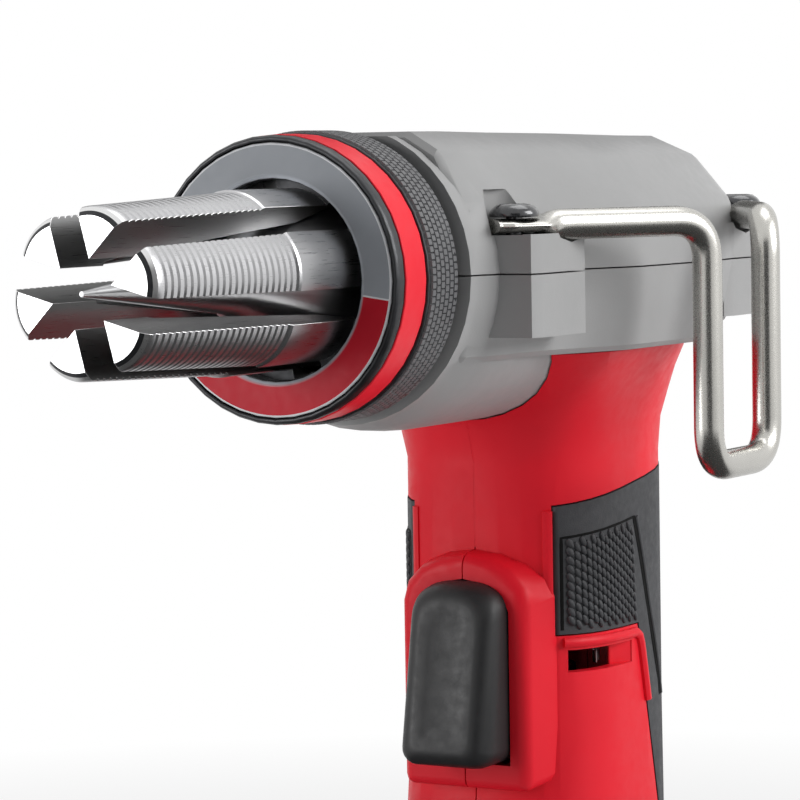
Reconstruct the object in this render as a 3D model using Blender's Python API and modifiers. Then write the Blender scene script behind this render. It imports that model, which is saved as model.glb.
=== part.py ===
"""Compact pipe expansion tool: six-jaw expander head, cam-driven cone, pistol handle, slide-in battery.

Metres, +Z up. The origin is the centre of the battery foot's underside. The head points to -Y and
the tool's left side is +X. Positions along the head are given as "back", the distance behind the
face of the collar, and "up", the height above the head's axis.
"""

import math

import bmesh
import bpy
from mathutils import Matrix, Vector

MM = 0.001
GAP = 0.3 * MM

# Overall layout
AXIS_UP = 180 * MM
FACE_TO_ORIGIN = 86 * MM
STROKE = 14 * MM
JAW_TRAVEL = 6 * MM
BEYOND = 300 * MM

# Collar that holds the head on the tool
RIM_RADIUS = 26.9 * MM
FACE_RADIUS = RIM_RADIUS - 0.9 * MM
KNURL_RADIUS = RIM_RADIUS + 0.8 * MM
POCKET_RADIUS = RIM_RADIUS - 1.6 * MM
COLLAR_BORE = RIM_RADIUS - 4.3 * MM
HOLE_RADIUS = COLLAR_BORE - 3.9 * MM
BAND_FRONT = 2.5 * MM
BAND_REAR = 10.5 * MM
BAND_DEPTH = 0.7 * MM
COLLAR_REAR = 21.8 * MM
FLANGE_BACK = 4.4 * MM
FLANGE_REAR = FLANGE_BACK + 5.6 * MM

# Expander head
JAW_COUNT = 6
JAW_FIRST_ANGLE = math.radians(15)
JAW_OFFSET = JAW_TRAVEL + 0.2 * MM
JAW_LENGTH = 61 * MM
JAW_RIBBED = JAW_LENGTH - 17 * MM
JAW_NECK_RADIUS = HOLE_RADIUS - JAW_OFFSET - 1.5 * MM
JAW_STEP_RADIUS = JAW_NECK_RADIUS - 0.4 * MM
JAW_TIP_RADIUS = JAW_NECK_RADIUS - 2 * MM
JAW_FLANGE_RADIUS = POCKET_RADIUS - JAW_OFFSET - 0.2 * MM
RIB_COUNT = 13
JAW_BORE_CLEARANCE = 1.0 * MM
CONE_LENGTH = JAW_LENGTH + FLANGE_REAR
CONE_SPREAD = 26 * MM
PILOT_LENGTH = CONE_LENGTH - CONE_SPREAD
CONE_TIP_RADIUS = 0.5 * MM
CONE_SHOULDER = JAW_NECK_RADIUS - 5.4 * MM
CONE_BASE = CONE_SHOULDER + CONE_SPREAD * JAW_TRAVEL / STROKE

# Threaded nose behind the collar
NOSE_FRONT = FLANGE_REAR + 2 * MM
NOSE_BORE = CONE_BASE + 0.86 * MM
NOSE_TAIL = COLLAR_BORE + 1.4 * MM
NOSE_WALL = FLANGE_REAR + STROKE + MM
NOSE_REAR = NOSE_WALL + 5.7 * MM
BUSH_RADIUS = 10 * MM

# Drive, worked out backwards from the nose
ROD_RADIUS = 6 * MM
FORK_UP = 6.8 * MM
ROLLER_RADIUS = 5 * MM
ROLLER_GAP = 0.6 * MM
ROLLER_BACK = NOSE_REAR + 5.2 * MM
CAM_LOW = 9.1 * MM
CAM_BACK = ROLLER_BACK + ROLLER_RADIUS + ROLLER_GAP + CAM_LOW + STROKE
CAM_POINTS = 24
SHAFT_RADIUS = 5 * MM
SHAFT_LEVELS = (-19.5 * MM, 18 * MM)
BEARING_RADIUS = 11 * MM
BEARING_WIDTH = 5.5 * MM
GEAR_DISTANCE = 36.9 * MM
GEAR_LEVELS = (-12.6 * MM, -7.3 * MM)
WHEEL_RADIUS = 26.8 * MM
PINION_RADIUS = GEAR_DISTANCE - WHEEL_RADIUS - 0.1 * MM
MOTOR_BACK = CAM_BACK + GEAR_DISTANCE
MOTOR_RADIUS = 16 * MM
NECK_RADIUS = MOTOR_RADIUS + 2 * MM
GEARBOX_TOP = -15.2 * MM
GEARBOX_BOTTOM = GEARBOX_TOP - 32.8 * MM
MOTOR_TOP = GEARBOX_BOTTOM - GAP
MOTOR_BOTTOM = MOTOR_TOP - 31.7 * MM

# Gear housing: each station is its place back, half width, roof and floor
BARREL_FRONT = COLLAR_REAR + 2.3 * MM
BARREL_RADIUS = RIM_RADIUS + 4.1 * MM
HOUSING_SIDE = 39.8 * MM
ROOF = 27.2 * MM
HOUSING_BOTTOM = -16.6 * MM
STATIONS = (
    (BARREL_FRONT + 2.9 * MM, BARREL_RADIUS - 4 * MM, ROOF, HOUSING_BOTTOM),
    (BARREL_FRONT + 11.9 * MM, BARREL_RADIUS - MM, ROOF, HOUSING_BOTTOM),
    (CAM_BACK - 10.6 * MM, BARREL_RADIUS + 0.5 * MM, ROOF - 0.3 * MM, HOUSING_BOTTOM),
    (CAM_BACK + 10.4 * MM, HOUSING_SIDE - 0.8 * MM, ROOF - 0.6 * MM, HOUSING_BOTTOM),
    (MOTOR_BACK + 3 * MM, HOUSING_SIDE, ROOF - 1.1 * MM, HOUSING_BOTTOM),
    (MOTOR_BACK + 20.5 * MM, HOUSING_SIDE - 2.2 * MM, ROOF - 1.2 * MM, HOUSING_BOTTOM + 2.8 * MM),
    (MOTOR_BACK + 26.5 * MM, HOUSING_SIDE - 4.3 * MM, ROOF - 2.2 * MM, HOUSING_BOTTOM + 3.8 * MM),
    (MOTOR_BACK + 32 * MM, HOUSING_SIDE - 8 * MM, ROOF - 8 * MM, HOUSING_BOTTOM + 4.4 * MM),
    (MOTOR_BACK + 37 * MM, HOUSING_SIDE - 12 * MM, ROOF - 15 * MM, HOUSING_BOTTOM + 4.8 * MM),
    (MOTOR_BACK + 40 * MM, HOUSING_SIDE - 16 * MM, ROOF - 19.5 * MM, HOUSING_BOTTOM + 5.4 * MM),
)
WALL = 2.6 * MM
WELL = (
    (22 * MM, CAM_BACK - 30.6 * MM),
    (27 * MM, CAM_BACK - 22.6 * MM),
    (28.5 * MM, CAM_BACK - 10.6 * MM),
    (35 * MM, CAM_BACK + 13.4 * MM),
    (35 * MM, MOTOR_BACK + 8.5 * MM),
    (22 * MM, MOTOR_BACK + 20.5 * MM),
)

# Carry hook
WIRE_RADIUS = 3 * MM
WIRE_UP = 9.1 * MM
HOOK_SIDE = 53.8 * MM
HOOK_LEGS = (74.5 * MM, 102.3 * MM)
HOOK_BOTTOM = -39.5 * MM
HOOK_BEND = 8 * MM
SCREW_SIDE = 31.2 * MM
SCREW_BACKS = (36.8 * MM, 138.6 * MM)
PAD_SIDE = 37.8 * MM
PAD_TOP = 7.5 * MM
PAD_BOTTOM = -12 * MM
PAD_ENDS = ((32 * MM, 55 * MM), (118 * MM, 145 * MM))
POCKET_ROOM = (0.5 * MM, 3.2 * MM)
GROOVE_ROOM = (0.5 * MM, 0.9 * MM)
SEAT_UP = PAD_TOP - 0.15 * MM
EYE_RADIUS = 5.4 * MM
EYE_THICKNESS = 2.8 * MM
SCREW_SHANK = 1.6 * MM

# Handle: each section is its level, half width, half depth and place back
HANDLE_SIDE = 23.2 * MM
HANDLE_DEPTH = 26.4 * MM
HANDLE_BACK = MOTOR_BACK + 0.9 * MM
HANDLE_BOTTOM = -145.7 * MM
HANDLE_TOP = -12 * MM
STEM_BACK = HANDLE_BACK - 2.4 * MM
LOWER_SECTIONS = (
    (HANDLE_BOTTOM + 9.7 * MM, HANDLE_SIDE + 1.2 * MM, HANDLE_DEPTH + 1.2 * MM, STEM_BACK),
    (HANDLE_BOTTOM + 33.7 * MM, HANDLE_SIDE + 0.6 * MM, HANDLE_DEPTH + 0.4 * MM, HANDLE_BACK - MM),
)
UPPER_SECTIONS = (
    (-94 * MM, HANDLE_SIDE, HANDLE_DEPTH, HANDLE_BACK),
    (-40 * MM, HANDLE_SIDE, HANDLE_DEPTH, HANDLE_BACK),
    (-33 * MM, HANDLE_SIDE + 0.8 * MM, HANDLE_DEPTH + 1.2 * MM, HANDLE_BACK - 0.9 * MM),
    (-27 * MM, HANDLE_SIDE + 3.1 * MM, HANDLE_DEPTH + 4.6 * MM, HANDLE_BACK - 3.4 * MM),
    (-22 * MM, HANDLE_SIDE + 6.3 * MM, HANDLE_DEPTH + 7.6 * MM, HANDLE_BACK - 7.9 * MM),
    (-17 * MM, HANDLE_SIDE + 10.3 * MM, HANDLE_DEPTH + 10.1 * MM, HANDLE_BACK - 12.4 * MM),
)
GRIP_FRONT = HANDLE_BACK - 23 * MM
GRIP_REAR = HANDLE_BACK + 28.6 * MM
GRIP_TOP = -41.6 * MM
GRIP_STEP = -75.6 * MM
GRIP_BOTTOM = -132 * MM
GRIP_DEPTH = 1.4 * MM
VENT_BACKS = (MOTOR_BACK - 20 * MM, MOTOR_BACK - 0.5 * MM)
VENT_LEVELS = (MOTOR_BOTTOM - 3.2 * MM, MOTOR_BOTTOM + 1.4 * MM)

# Trigger and switch
TRIGGER_SIDE = 10.2 * MM
TRIGGER_TOP = -63.8 * MM
TRIGGER_BOTTOM = -101 * MM
TRIGGER_FRONT = HANDLE_BACK - 37 * MM
TRIGGER_REAR = TRIGGER_FRONT + 13.6 * MM
HOOD_SIDE = TRIGGER_SIDE + 4.2 * MM
HOOD_BACKS = (TRIGGER_FRONT + 5.1 * MM, TRIGGER_FRONT + 18.6 * MM)
STEM_LEVELS = (TRIGGER_BOTTOM + 3 * MM, TRIGGER_BOTTOM + 11 * MM)
SWITCH_BACKS = (HANDLE_BACK - 18.4 * MM, HANDLE_BACK + 1.6 * MM)
SWITCH_LEVELS = (MOTOR_BOTTOM - 28 * MM, MOTOR_BOTTOM - 4 * MM)

# Battery
BATTERY_TOP = HANDLE_BOTTOM + 33.7 * MM
CELL_RADIUS = 9 * MM
CELL_PLACES = (
    (0, STEM_BACK - 9 * MM),
    (CELL_RADIUS + 0.2 * MM, STEM_BACK + 6.6 * MM),
    (-CELL_RADIUS - 0.2 * MM, STEM_BACK + 6.6 * MM),
)
FOOT_SIDE = 27 * MM
FOOT_LENGTH = 88 * MM
FOOT_CORNER = 9 * MM
FOOT_TOP = HANDLE_BOTTOM - GAP
FOOT_SPLIT = 8 * MM - AXIS_UP
LATCH_BACKS = (STEM_BACK - 8 * MM, STEM_BACK + 10 * MM)
LATCH_LEVELS = (FOOT_TOP - 15 * MM, FOOT_TOP - 5 * MM)

PALE = (0.42, 0.43, 0.44)
RED = (0.62, 0.012, 0.03)
BLACK = (0.02, 0.02, 0.022)
STEEL = (0.55, 0.55, 0.56)


def clear_scene():
    for item in list(bpy.data.objects):
        bpy.data.objects.remove(item, do_unlink=True)


def collection(name):
    made = bpy.data.collections.new(name)
    bpy.context.scene.collection.children.link(made)
    return made


clear_scene()
PARTS = collection("pex_expansion_tool")
GUIDES = collection("guides")


def world(x, back, up):
    return Vector((x, back - FACE_TO_ORIGIN, AXIS_UP + up))


def material(name, colour, roughness, metallic):
    made = bpy.data.materials.new(name)
    made.use_nodes = True
    shader = made.node_tree.nodes["Principled BSDF"]
    shader.inputs["Base Color"].default_value = (*colour, 1)
    shader.inputs["Roughness"].default_value = roughness
    shader.inputs["Metallic"].default_value = metallic
    return made


def guide(name, mesh):
    """A helper shape: cut with, joined or copied, never a part."""
    made = bpy.data.objects.new(name, mesh)
    GUIDES.objects.link(made)
    made.hide_render = True
    made.display_type = "WIRE"
    return made


def mesh_from(name, shape):
    bmesh.ops.remove_doubles(shape, verts=shape.verts, dist=0.00001)
    bmesh.ops.recalc_face_normals(shape, faces=shape.faces)
    mesh = bpy.data.meshes.new(name)
    shape.to_mesh(mesh)
    shape.free()
    return mesh


def baked(shape):
    """The shape's mesh with its modifiers and placement worked in."""
    seen = shape.evaluated_get(bpy.context.evaluated_depsgraph_get())
    mesh = bpy.data.meshes.new_from_object(seen)
    mesh.transform(shape.matrix_world)
    return mesh


def part(name, shape, colour, roughness, metallic=0.0, smooth=True, origin=(0, 0, 0)):
    """Turns a finished guide into a named part with its origin at the point given."""
    bpy.context.view_layer.update()
    mesh = baked(shape)
    mesh.name = name
    mesh.transform(Matrix.Translation(-Vector(origin)))
    made = bpy.data.objects.new(name, mesh)
    made.location = origin
    PARTS.objects.link(made)
    mesh.materials.clear()
    mesh.materials.append(material(name + "_look", colour, roughness, metallic))
    if smooth:
        mesh.shade_smooth()
        mesh.set_sharp_from_angle(angle=math.radians(32))
    return made


def boolean(shape, tool, operation):
    change = shape.modifiers.new(operation.lower(), "BOOLEAN")
    change.object = tool
    change.operation = operation
    change.solver = "EXACT"
    return shape


def cut(shape, *tools):
    for tool in tools:
        boolean(shape, tool, "DIFFERENCE")
    return shape


def join(shape, *tools):
    for tool in tools:
        boolean(shape, tool, "UNION")
    return shape


def keep(shape, *tools):
    for tool in tools:
        boolean(shape, tool, "INTERSECT")
    return shape


def softened(shape, width, segments=2, angle=30):
    bevel = shape.modifiers.new("soft edges", "BEVEL")
    bevel.width = width
    bevel.segments = segments
    bevel.limit_method = "ANGLE"
    bevel.angle_limit = math.radians(angle)
    return shape


def copied(shape):
    bpy.context.view_layer.update()
    return guide(shape.name, baked(shape))


def box(name, x, back, up):
    """A box between two values along each direction."""
    shape = bmesh.new()
    size = Vector((x[1] - x[0], back[1] - back[0], up[1] - up[0]))
    centre = world(sum(x) / 2, sum(back) / 2, sum(up) / 2)
    bmesh.ops.create_cube(shape, size=1, matrix=Matrix.Diagonal((*size, 1)))
    made = guide(name, mesh_from(name, shape))
    made.location = centre
    return made


def turned(name, profile, place, steps=40, ring=False):
    """Turns a profile of (radius, height) points about local Z.

    A ring's profile is a closed outline; otherwise flat ends close the first and last points.
    """
    shape = bmesh.new()
    turns = [2 * math.pi * step / steps for step in range(steps)]
    columns = [turned_points(shape, profile, angle) for angle in turns]
    last = len(profile) if ring else len(profile) - 1
    for column, following in zip(columns, columns[1:] + columns[:1]):
        add_strip(shape, column, following, last)
    if not ring:
        shape.faces.new([column[0] for column in columns])
        shape.faces.new([column[-1] for column in columns])
    made = guide(name, mesh_from(name, shape))
    made.matrix_world = place
    return made


def turned_points(shape, profile, angle):
    side, front = math.cos(angle), math.sin(angle)
    return [shape.verts.new((radius * side, radius * front, height)) for radius, height in profile]


def add_strip(shape, column, following, last):
    for index in range(last):
        other = (index + 1) % len(column)
        shape.faces.new((column[index], column[other], following[other], following[index]))


def wedge(name, profile, place, facing, half_angle, steps=3):
    """A closed outline of (radius, height) points swept through part of a turn."""
    shape = bmesh.new()
    shares = [2 * step / steps - 1 for step in range(steps + 1)]
    columns = [turned_points(shape, profile, facing + share * half_angle) for share in shares]
    for column, following in zip(columns, columns[1:]):
        add_strip(shape, column, following, len(profile))
    shape.faces.new(columns[0])
    shape.faces.new(columns[-1])
    made = guide(name, mesh_from(name, shape))
    made.matrix_world = place
    return made


def along_head(x=0, back=0, up=0):
    """Local +Z runs back along the head's axis."""
    return Matrix.Translation(world(x, back, up)) @ Matrix.Rotation(-math.pi / 2, 4, "X")


def upright(x=0, back=0, up=0):
    return Matrix.Translation(world(x, back, up))


def rod(name, radius, low, high, place, steps=24, inner=0.0):
    outer = [(radius, high), (radius, low)]
    if not inner:
        return turned(name, outer, place, steps)
    return turned(name, [*outer, (inner, low), (inner, high)], place, steps, ring=True)


def loft(name, sections):
    """Joins outlines with the same number of points into one closed solid."""
    shape = bmesh.new()
    rings = [[shape.verts.new(point) for point in section] for section in sections]
    shape.faces.new(rings[0])
    shape.faces.new(rings[-1])
    for ring, following in zip(rings, rings[1:]):
        for index in range(len(ring)):
            other = (index + 1) % len(ring)
            shape.faces.new((ring[index], ring[other], following[other], following[index]))
    return guide(name, mesh_from(name, shape))


def prism(name, outline, low, high, across=None):
    """Extrudes an outline of (back, up) points across X, or of (x, back) points when upright."""
    if across == "up":
        sections = [[world(x, back, level) for x, back in outline] for level in (low, high)]
    else:
        sections = [[world(level, back, up) for back, up in outline] for level in (low, high)]
    return loft(name, sections)


def oval(side, depth, back, up, power=3.0, count=32):
    """A level rounded outline: an ellipse squared off by its power."""
    points = []
    for step in range(count):
        angle = 2 * math.pi * (step + 0.5) / count
        reach = (math.cos(angle), math.sin(angle))
        x, y = (math.copysign(abs(value) ** (2 / power), value) for value in reach)
        points.append(world(side * x, back + depth * y, up))
    return points


# Expander head


def make_cone():
    profile = [
        (CONE_BASE, CONE_LENGTH),
        (CONE_BASE, CONE_LENGTH - MM),
        (CONE_SHOULDER, PILOT_LENGTH),
        (CONE_TIP_RADIUS, 0),
    ]
    shape = turned("cone", profile, along_head(back=-JAW_LENGTH), 32)
    part("expansion_cone", shape, STEEL, 0.25, 1.0, origin=world(0, -JAW_LENGTH, 0))


def jaw_profile():
    """Half outline of the closed head as (radius, back), from the tip round the flange and bore.

    The bore follows the cone's slope: the jaws open by their travel over the cone's stroke.
    """
    closed_tip = STROKE - JAW_LENGTH
    turn_in = closed_tip + PILOT_LENGTH
    bore = CONE_SHOULDER + JAW_BORE_CLEARANCE
    mouth = bore + (FLANGE_REAR - turn_in) * JAW_TRAVEL / STROKE
    outline = [(0, -JAW_LENGTH), (JAW_TIP_RADIUS - 0.8 * MM, -JAW_LENGTH)]
    pitch = JAW_RIBBED / RIB_COUNT
    for rib in range(RIB_COUNT):
        start = pitch * rib
        slope = (JAW_STEP_RADIUS - JAW_TIP_RADIUS) / JAW_RIBBED
        outline.append((JAW_TIP_RADIUS + slope * start - 0.25 * MM, start + 0.4 * MM - JAW_LENGTH))
        outline.append((JAW_TIP_RADIUS + slope * start + 0.15 * MM, start + 1.4 * MM - JAW_LENGTH))
    outline += [
        (JAW_NECK_RADIUS - 0.2 * MM, JAW_RIBBED - JAW_LENGTH),
        (JAW_NECK_RADIUS, JAW_RIBBED + MM - JAW_LENGTH),
        (JAW_NECK_RADIUS, FLANGE_BACK),
        (JAW_FLANGE_RADIUS, FLANGE_BACK),
        (JAW_FLANGE_RADIUS, FLANGE_REAR),
        (mouth, FLANGE_REAR),
        (bore, turn_in),
        (CONE_TIP_RADIUS + GAP, closed_tip - GAP),
        (0, closed_tip - 4 * GAP),
    ]
    return outline


def make_jaws():
    profile = jaw_profile()
    for index in range(JAW_COUNT):
        angle = JAW_FIRST_ANGLE + 2 * math.pi * index / JAW_COUNT
        out = (math.cos(angle), math.sin(angle))
        place = along_head(JAW_OFFSET * out[0], 0, JAW_OFFSET * out[1])
        half = math.pi / JAW_COUNT
        shape = wedge("jaw", profile, place, -angle, half)
        name = f"jaw_{index + 1}"
        part(name, shape, STEEL, 0.22, 1.0, smooth=False, origin=place.translation)


def make_thrust_ring():
    front = FLANGE_REAR + GAP
    rear = NOSE_FRONT - 0.5 * MM
    shape = rod("thrust", COLLAR_BORE - GAP, front, rear, along_head(), 32, NOSE_BORE)
    part("thrust_ring", shape, STEEL, 0.3, 1.0, origin=world(0, 0, 0))


def make_collar():
    """The nut's inner groove holds the jaws' flanges behind its front lip, open or closed."""
    floor = RIM_RADIUS - BAND_DEPTH
    profile = [
        (HOLE_RADIUS, 0.9 * MM),
        (FACE_RADIUS - 0.2 * MM, 0.9 * MM),
        (FACE_RADIUS - 0.2 * MM, -0.1 * MM),
        (FACE_RADIUS + 0.5 * MM, -0.1 * MM),
        (RIM_RADIUS, 0.7 * MM),
        (RIM_RADIUS, BAND_FRONT),
        (floor, BAND_FRONT),
        (floor, BAND_REAR),
        (KNURL_RADIUS - 0.4 * MM, BAND_REAR),
        (KNURL_RADIUS, COLLAR_REAR - MM),
        (KNURL_RADIUS - 0.8 * MM, COLLAR_REAR),
        (COLLAR_BORE, COLLAR_REAR),
        (COLLAR_BORE, FLANGE_REAR + GAP),
        (POCKET_RADIUS, FLANGE_REAR + GAP),
        (POCKET_RADIUS, FLANGE_BACK - GAP),
        (HOLE_RADIUS, FLANGE_BACK - GAP),
    ]
    part("collar_nut", turned("collar", profile, along_head(), ring=True), BLACK, 0.45, 0.3)
    plate = [
        (HOLE_RADIUS + 0.1 * MM, 0.6 * MM),
        (HOLE_RADIUS + 0.8 * MM, 0),
        (FACE_RADIUS - 0.5 * MM, 0),
        (FACE_RADIUS - 0.5 * MM, 0.6 * MM),
    ]
    part("face_plate", turned("plate", plate, along_head(), ring=True), (0.3, 0.32, 0.35), 0.4, 0.2)
    band = [
        (floor + GAP, BAND_REAR - GAP),
        (RIM_RADIUS + 0.15 * MM, BAND_REAR - GAP),
        (RIM_RADIUS + 0.15 * MM, BAND_FRONT + GAP),
        (floor + GAP, BAND_FRONT + GAP),
    ]
    part("colour_band", turned("band", band, along_head(), ring=True), RED, 0.35)


# Drive train along the head


def make_nose_barrel():
    """The threaded metal nose the collar screws on; its rear wall holds the push rod's bush."""
    flange = KNURL_RADIUS - 1.5 * MM
    profile = [
        (COLLAR_BORE - GAP, NOSE_FRONT),
        (COLLAR_BORE - GAP, COLLAR_REAR + GAP),
        (flange, COLLAR_REAR + GAP),
        (flange, BARREL_FRONT - GAP),
        (NOSE_TAIL, BARREL_FRONT - GAP),
        (NOSE_TAIL, NOSE_REAR),
        (BUSH_RADIUS, NOSE_REAR),
        (BUSH_RADIUS, NOSE_WALL),
        (NOSE_BORE, NOSE_WALL),
        (NOSE_BORE, NOSE_FRONT),
    ]
    shape = turned("nose", profile, along_head(), 36, True)
    part("nose_barrel", shape, (0.1, 0.1, 0.11), 0.4, 0.8)
    bush = rod("bush", BUSH_RADIUS - GAP, NOSE_WALL, NOSE_REAR, along_head(), 24, ROD_RADIUS + GAP)
    part("rod_bush", bush, (0.55, 0.35, 0.12), 0.35, 1.0)


def make_push_rod():
    """The rod behind the cone ends in a fork that carries the cam roller."""
    start = FLANGE_REAR + GAP
    centre = ROLLER_BACK
    shape = rod("push", ROD_RADIUS, start, centre - 1.5 * MM, along_head())
    ends = (NOSE_REAR + 0.2 * MM, centre + 2.6 * MM)
    fork = box("fork", (-5 * MM, 5 * MM), ends, (-FORK_UP, FORK_UP))
    slot = box(
        "slot",
        (-9 * MM, 9 * MM),
        (centre - ROLLER_RADIUS - GAP, centre + 9 * MM),
        (-4.4 * MM, 4.4 * MM),
    )
    hole = rod("hole", 1.7 * MM, -9 * MM, 9 * MM, upright(0, centre, 0), 12)
    part("push_rod", cut(join(shape, fork), slot, hole), STEEL, 0.3, 1.0, smooth=False)
    roller = rod("roller", ROLLER_RADIUS, -4.1 * MM, 4.1 * MM, upright(0, centre, 0), 20, 1.7 * MM)
    part("cam_roller", roller, STEEL, 0.2, 1.0, origin=world(0, centre, 0))
    pin = rod("pin", 1.5 * MM, -FORK_UP, FORK_UP, upright(0, centre, 0), 12)
    part("roller_pin", pin, STEEL, 0.3, 1.0)


def cam_reach(angle):
    """The follower moves in proportion to the turn: half a turn is the whole stroke."""
    return CAM_LOW + STROKE * abs(angle) / math.pi


def make_cam():
    outline = []
    for step in range(CAM_POINTS):
        angle = 2 * math.pi * step / CAM_POINTS - math.pi
        reach = cam_reach(angle)
        outline.append((reach * math.sin(angle), CAM_BACK + reach * math.cos(angle)))
    shape = prism("cam", outline, -3.8 * MM, 3.8 * MM, "up")
    hub_radius = SHAFT_RADIUS + 3 * MM
    join(shape, rod("hub", hub_radius, GEAR_LEVELS[1] + GAP, 4.4 * MM, upright(0, CAM_BACK, 0)))
    bore = rod("bore", SHAFT_RADIUS + GAP / 2, -BEYOND, BEYOND, upright(0, CAM_BACK, 0), 20)
    centre = world(0, CAM_BACK, 0)
    part("cam_disc", cut(shape, bore), STEEL, 0.25, 1.0, smooth=False, origin=centre)
    low, high = SHAFT_LEVELS
    shaft = rod("shaft", SHAFT_RADIUS, low, high, upright(0, CAM_BACK, 0), 20)
    part("cam_shaft", shaft, STEEL, 0.3, 1.0, origin=centre)
    ends = {"upper": (high - BEARING_WIDTH, high), "lower": (low, low + BEARING_WIDTH)}
    for name, levels in ends.items():
        place = upright(0, CAM_BACK, 0)
        ring = rod(name, BEARING_RADIUS, *levels, place, 20, SHAFT_RADIUS + GAP)
        part(f"cam_bearing_{name}", ring, STEEL, 0.3, 1.0)


def gear_outline(teeth, inner, outer, centre_back, phase):
    points = []
    for tooth in range(teeth):
        for share, radius in ((-0.28, inner), (-0.14, outer), (0.14, outer), (0.28, inner)):
            angle = 2 * math.pi * (tooth + share + phase) / teeth
            points.append((radius * math.sin(angle), centre_back - radius * math.cos(angle)))
    return points


def make_gears():
    wheel = prism(
        "wheel",
        gear_outline(26, WHEEL_RADIUS - 2 * MM, WHEEL_RADIUS, CAM_BACK, 0),
        *GEAR_LEVELS,
        "up",
    )
    bore = rod("bore", SHAFT_RADIUS + GAP / 2, -BEYOND, BEYOND, upright(0, CAM_BACK, 0), 20)
    origin = world(0, CAM_BACK, 0)
    part("cam_gear", cut(wheel, bore), STEEL, 0.35, 1.0, smooth=False, origin=origin)
    teeth = prism(
        "teeth",
        gear_outline(10, PINION_RADIUS - 2 * MM, PINION_RADIUS, MOTOR_BACK, 0.5),
        *GEAR_LEVELS,
        "up",
    )
    shaft = rod("shaft", 4 * MM, GEARBOX_TOP - 3.8 * MM, MM, upright(0, MOTOR_BACK, 0), 16)
    origin = world(0, MOTOR_BACK, 0)
    part("pinion", join(teeth, shaft), STEEL, 0.3, 1.0, smooth=False, origin=origin)


# Gear housing


def housing_section(back, side, top, bottom, grow):
    """A front-view outline: flat top, sloping shoulder, side that leans out to the parting line."""
    half = [
        (side * 0.5, top),
        (side * 0.75, top - 4 * MM),
        (side - MM, min(12 * MM, top - 5.5 * MM)),
        (side, 0),
        (side - MM, bottom * 0.55),
        (side - 2.4 * MM, bottom),
    ]
    right = [world(x + grow, back, up + math.copysign(grow, up)) for x, up in half]
    left = [world(-x - grow, back, up + math.copysign(grow, up)) for x, up in reversed(half)]
    return right + left


def housing_solid(name, grow=0.0):
    """The gear housing's outer shape: a faceted case over a round barrel."""
    last = len(STATIONS) - 1
    sections = []
    for index, (back, side, top, bottom) in enumerate(STATIONS):
        shift = grow * ((index == last) - (index == 0))
        sections.append(housing_section(back + shift, side, top, bottom, grow))
    body = softened(loft(name, sections), 1.2 * MM, 1)
    barrel = [
        (BARREL_RADIUS - 2.3 * MM + grow, BARREL_FRONT - grow),
        (BARREL_RADIUS - 2.3 * MM + grow, BARREL_FRONT + 3.3 * MM),
        (BARREL_RADIUS - 0.8 * MM + grow, BARREL_FRONT + 6.9 * MM),
        (BARREL_RADIUS + grow, BARREL_FRONT + 15.9 * MM),
        (BARREL_RADIUS + grow, MOTOR_BACK - 17.5 * MM),
        (BARREL_RADIUS - 2.5 * MM + grow, MOTOR_BACK - 6.5 * MM),
        (BARREL_RADIUS - 11 * MM + grow, MOTOR_BACK + 1.5 * MM + grow),
    ]
    round_part = turned(name + "_round", barrel, along_head())
    flat = box("flat", (-BEYOND, BEYOND), (-BEYOND, BEYOND), (ROOF - 0.8 * MM + grow, BEYOND))
    solid = join(body, cut(round_part, flat))
    for ends in PAD_ENDS:
        join(solid, hook_pad(ends, grow))
    return solid


def hook_pad(ends, grow):
    """A pad on the tool's left side that one end of the hook is screwed on."""
    front, rear = ends
    inner = SCREW_SIDE - 11 * MM
    outline = [
        (inner, front - grow),
        (PAD_SIDE - 0.9 * MM + grow / 2, front + 0.6 * MM - grow),
        (PAD_SIDE + grow, front + 3.6 * MM),
        (PAD_SIDE + grow, rear - 2 * MM),
        (PAD_SIDE - 3 * MM, rear + grow),
        (inner, rear + grow),
    ]
    return prism("pad", outline, PAD_BOTTOM - grow, PAD_TOP + grow, "up")


def housing_cavity():
    """The hollow for the gears: a rounded well under and over the parting line."""
    outline = [*WELL, *((-x, back) for x, back in reversed(WELL))]
    well = prism("well", outline, -6.8 * MM, 8 * MM, "up")
    middle = CAM_BACK + 5.4 * MM
    lid = [(0.72 * x, middle + 0.9 * (back - middle)) for x, back in outline]
    roof = prism("roof", lid, 7 * MM, 12.2 * MM, "up")
    floor = HOUSING_BOTTOM + WALL
    link = box("link", (-12 * MM, 12 * MM), (CAM_BACK, MOTOR_BACK), (floor + 0.4 * MM, -5 * MM))
    low, high = SHAFT_LEVELS
    over_cam = upright(0, CAM_BACK, 0)
    over_motor = upright(0, MOTOR_BACK, 0)
    wells = [
        rod("wheel_well", WHEEL_RADIUS + 0.6 * MM, floor, -6 * MM, over_cam, 40),
        rod("pinion_well", PINION_RADIUS + 2.3 * MM, floor - MM, -5.5 * MM, over_motor),
        rod("shaft_seat", BEARING_RADIUS + GAP, low - GAP, high + GAP, over_cam),
        rod("nose_seat", NOSE_TAIL + GAP, 0, NOSE_REAR + GAP, along_head(), 40),
        rod("rod_room", 12.6 * MM, NOSE_REAR - 0.7 * MM, NOSE_REAR + 10.3 * MM, along_head()),
        rod("neck", NECK_RADIUS, -BEYOND, GEARBOX_TOP + 0.7 * MM, over_motor, 40),
    ]
    return [well, roof, link, *wells]


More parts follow.
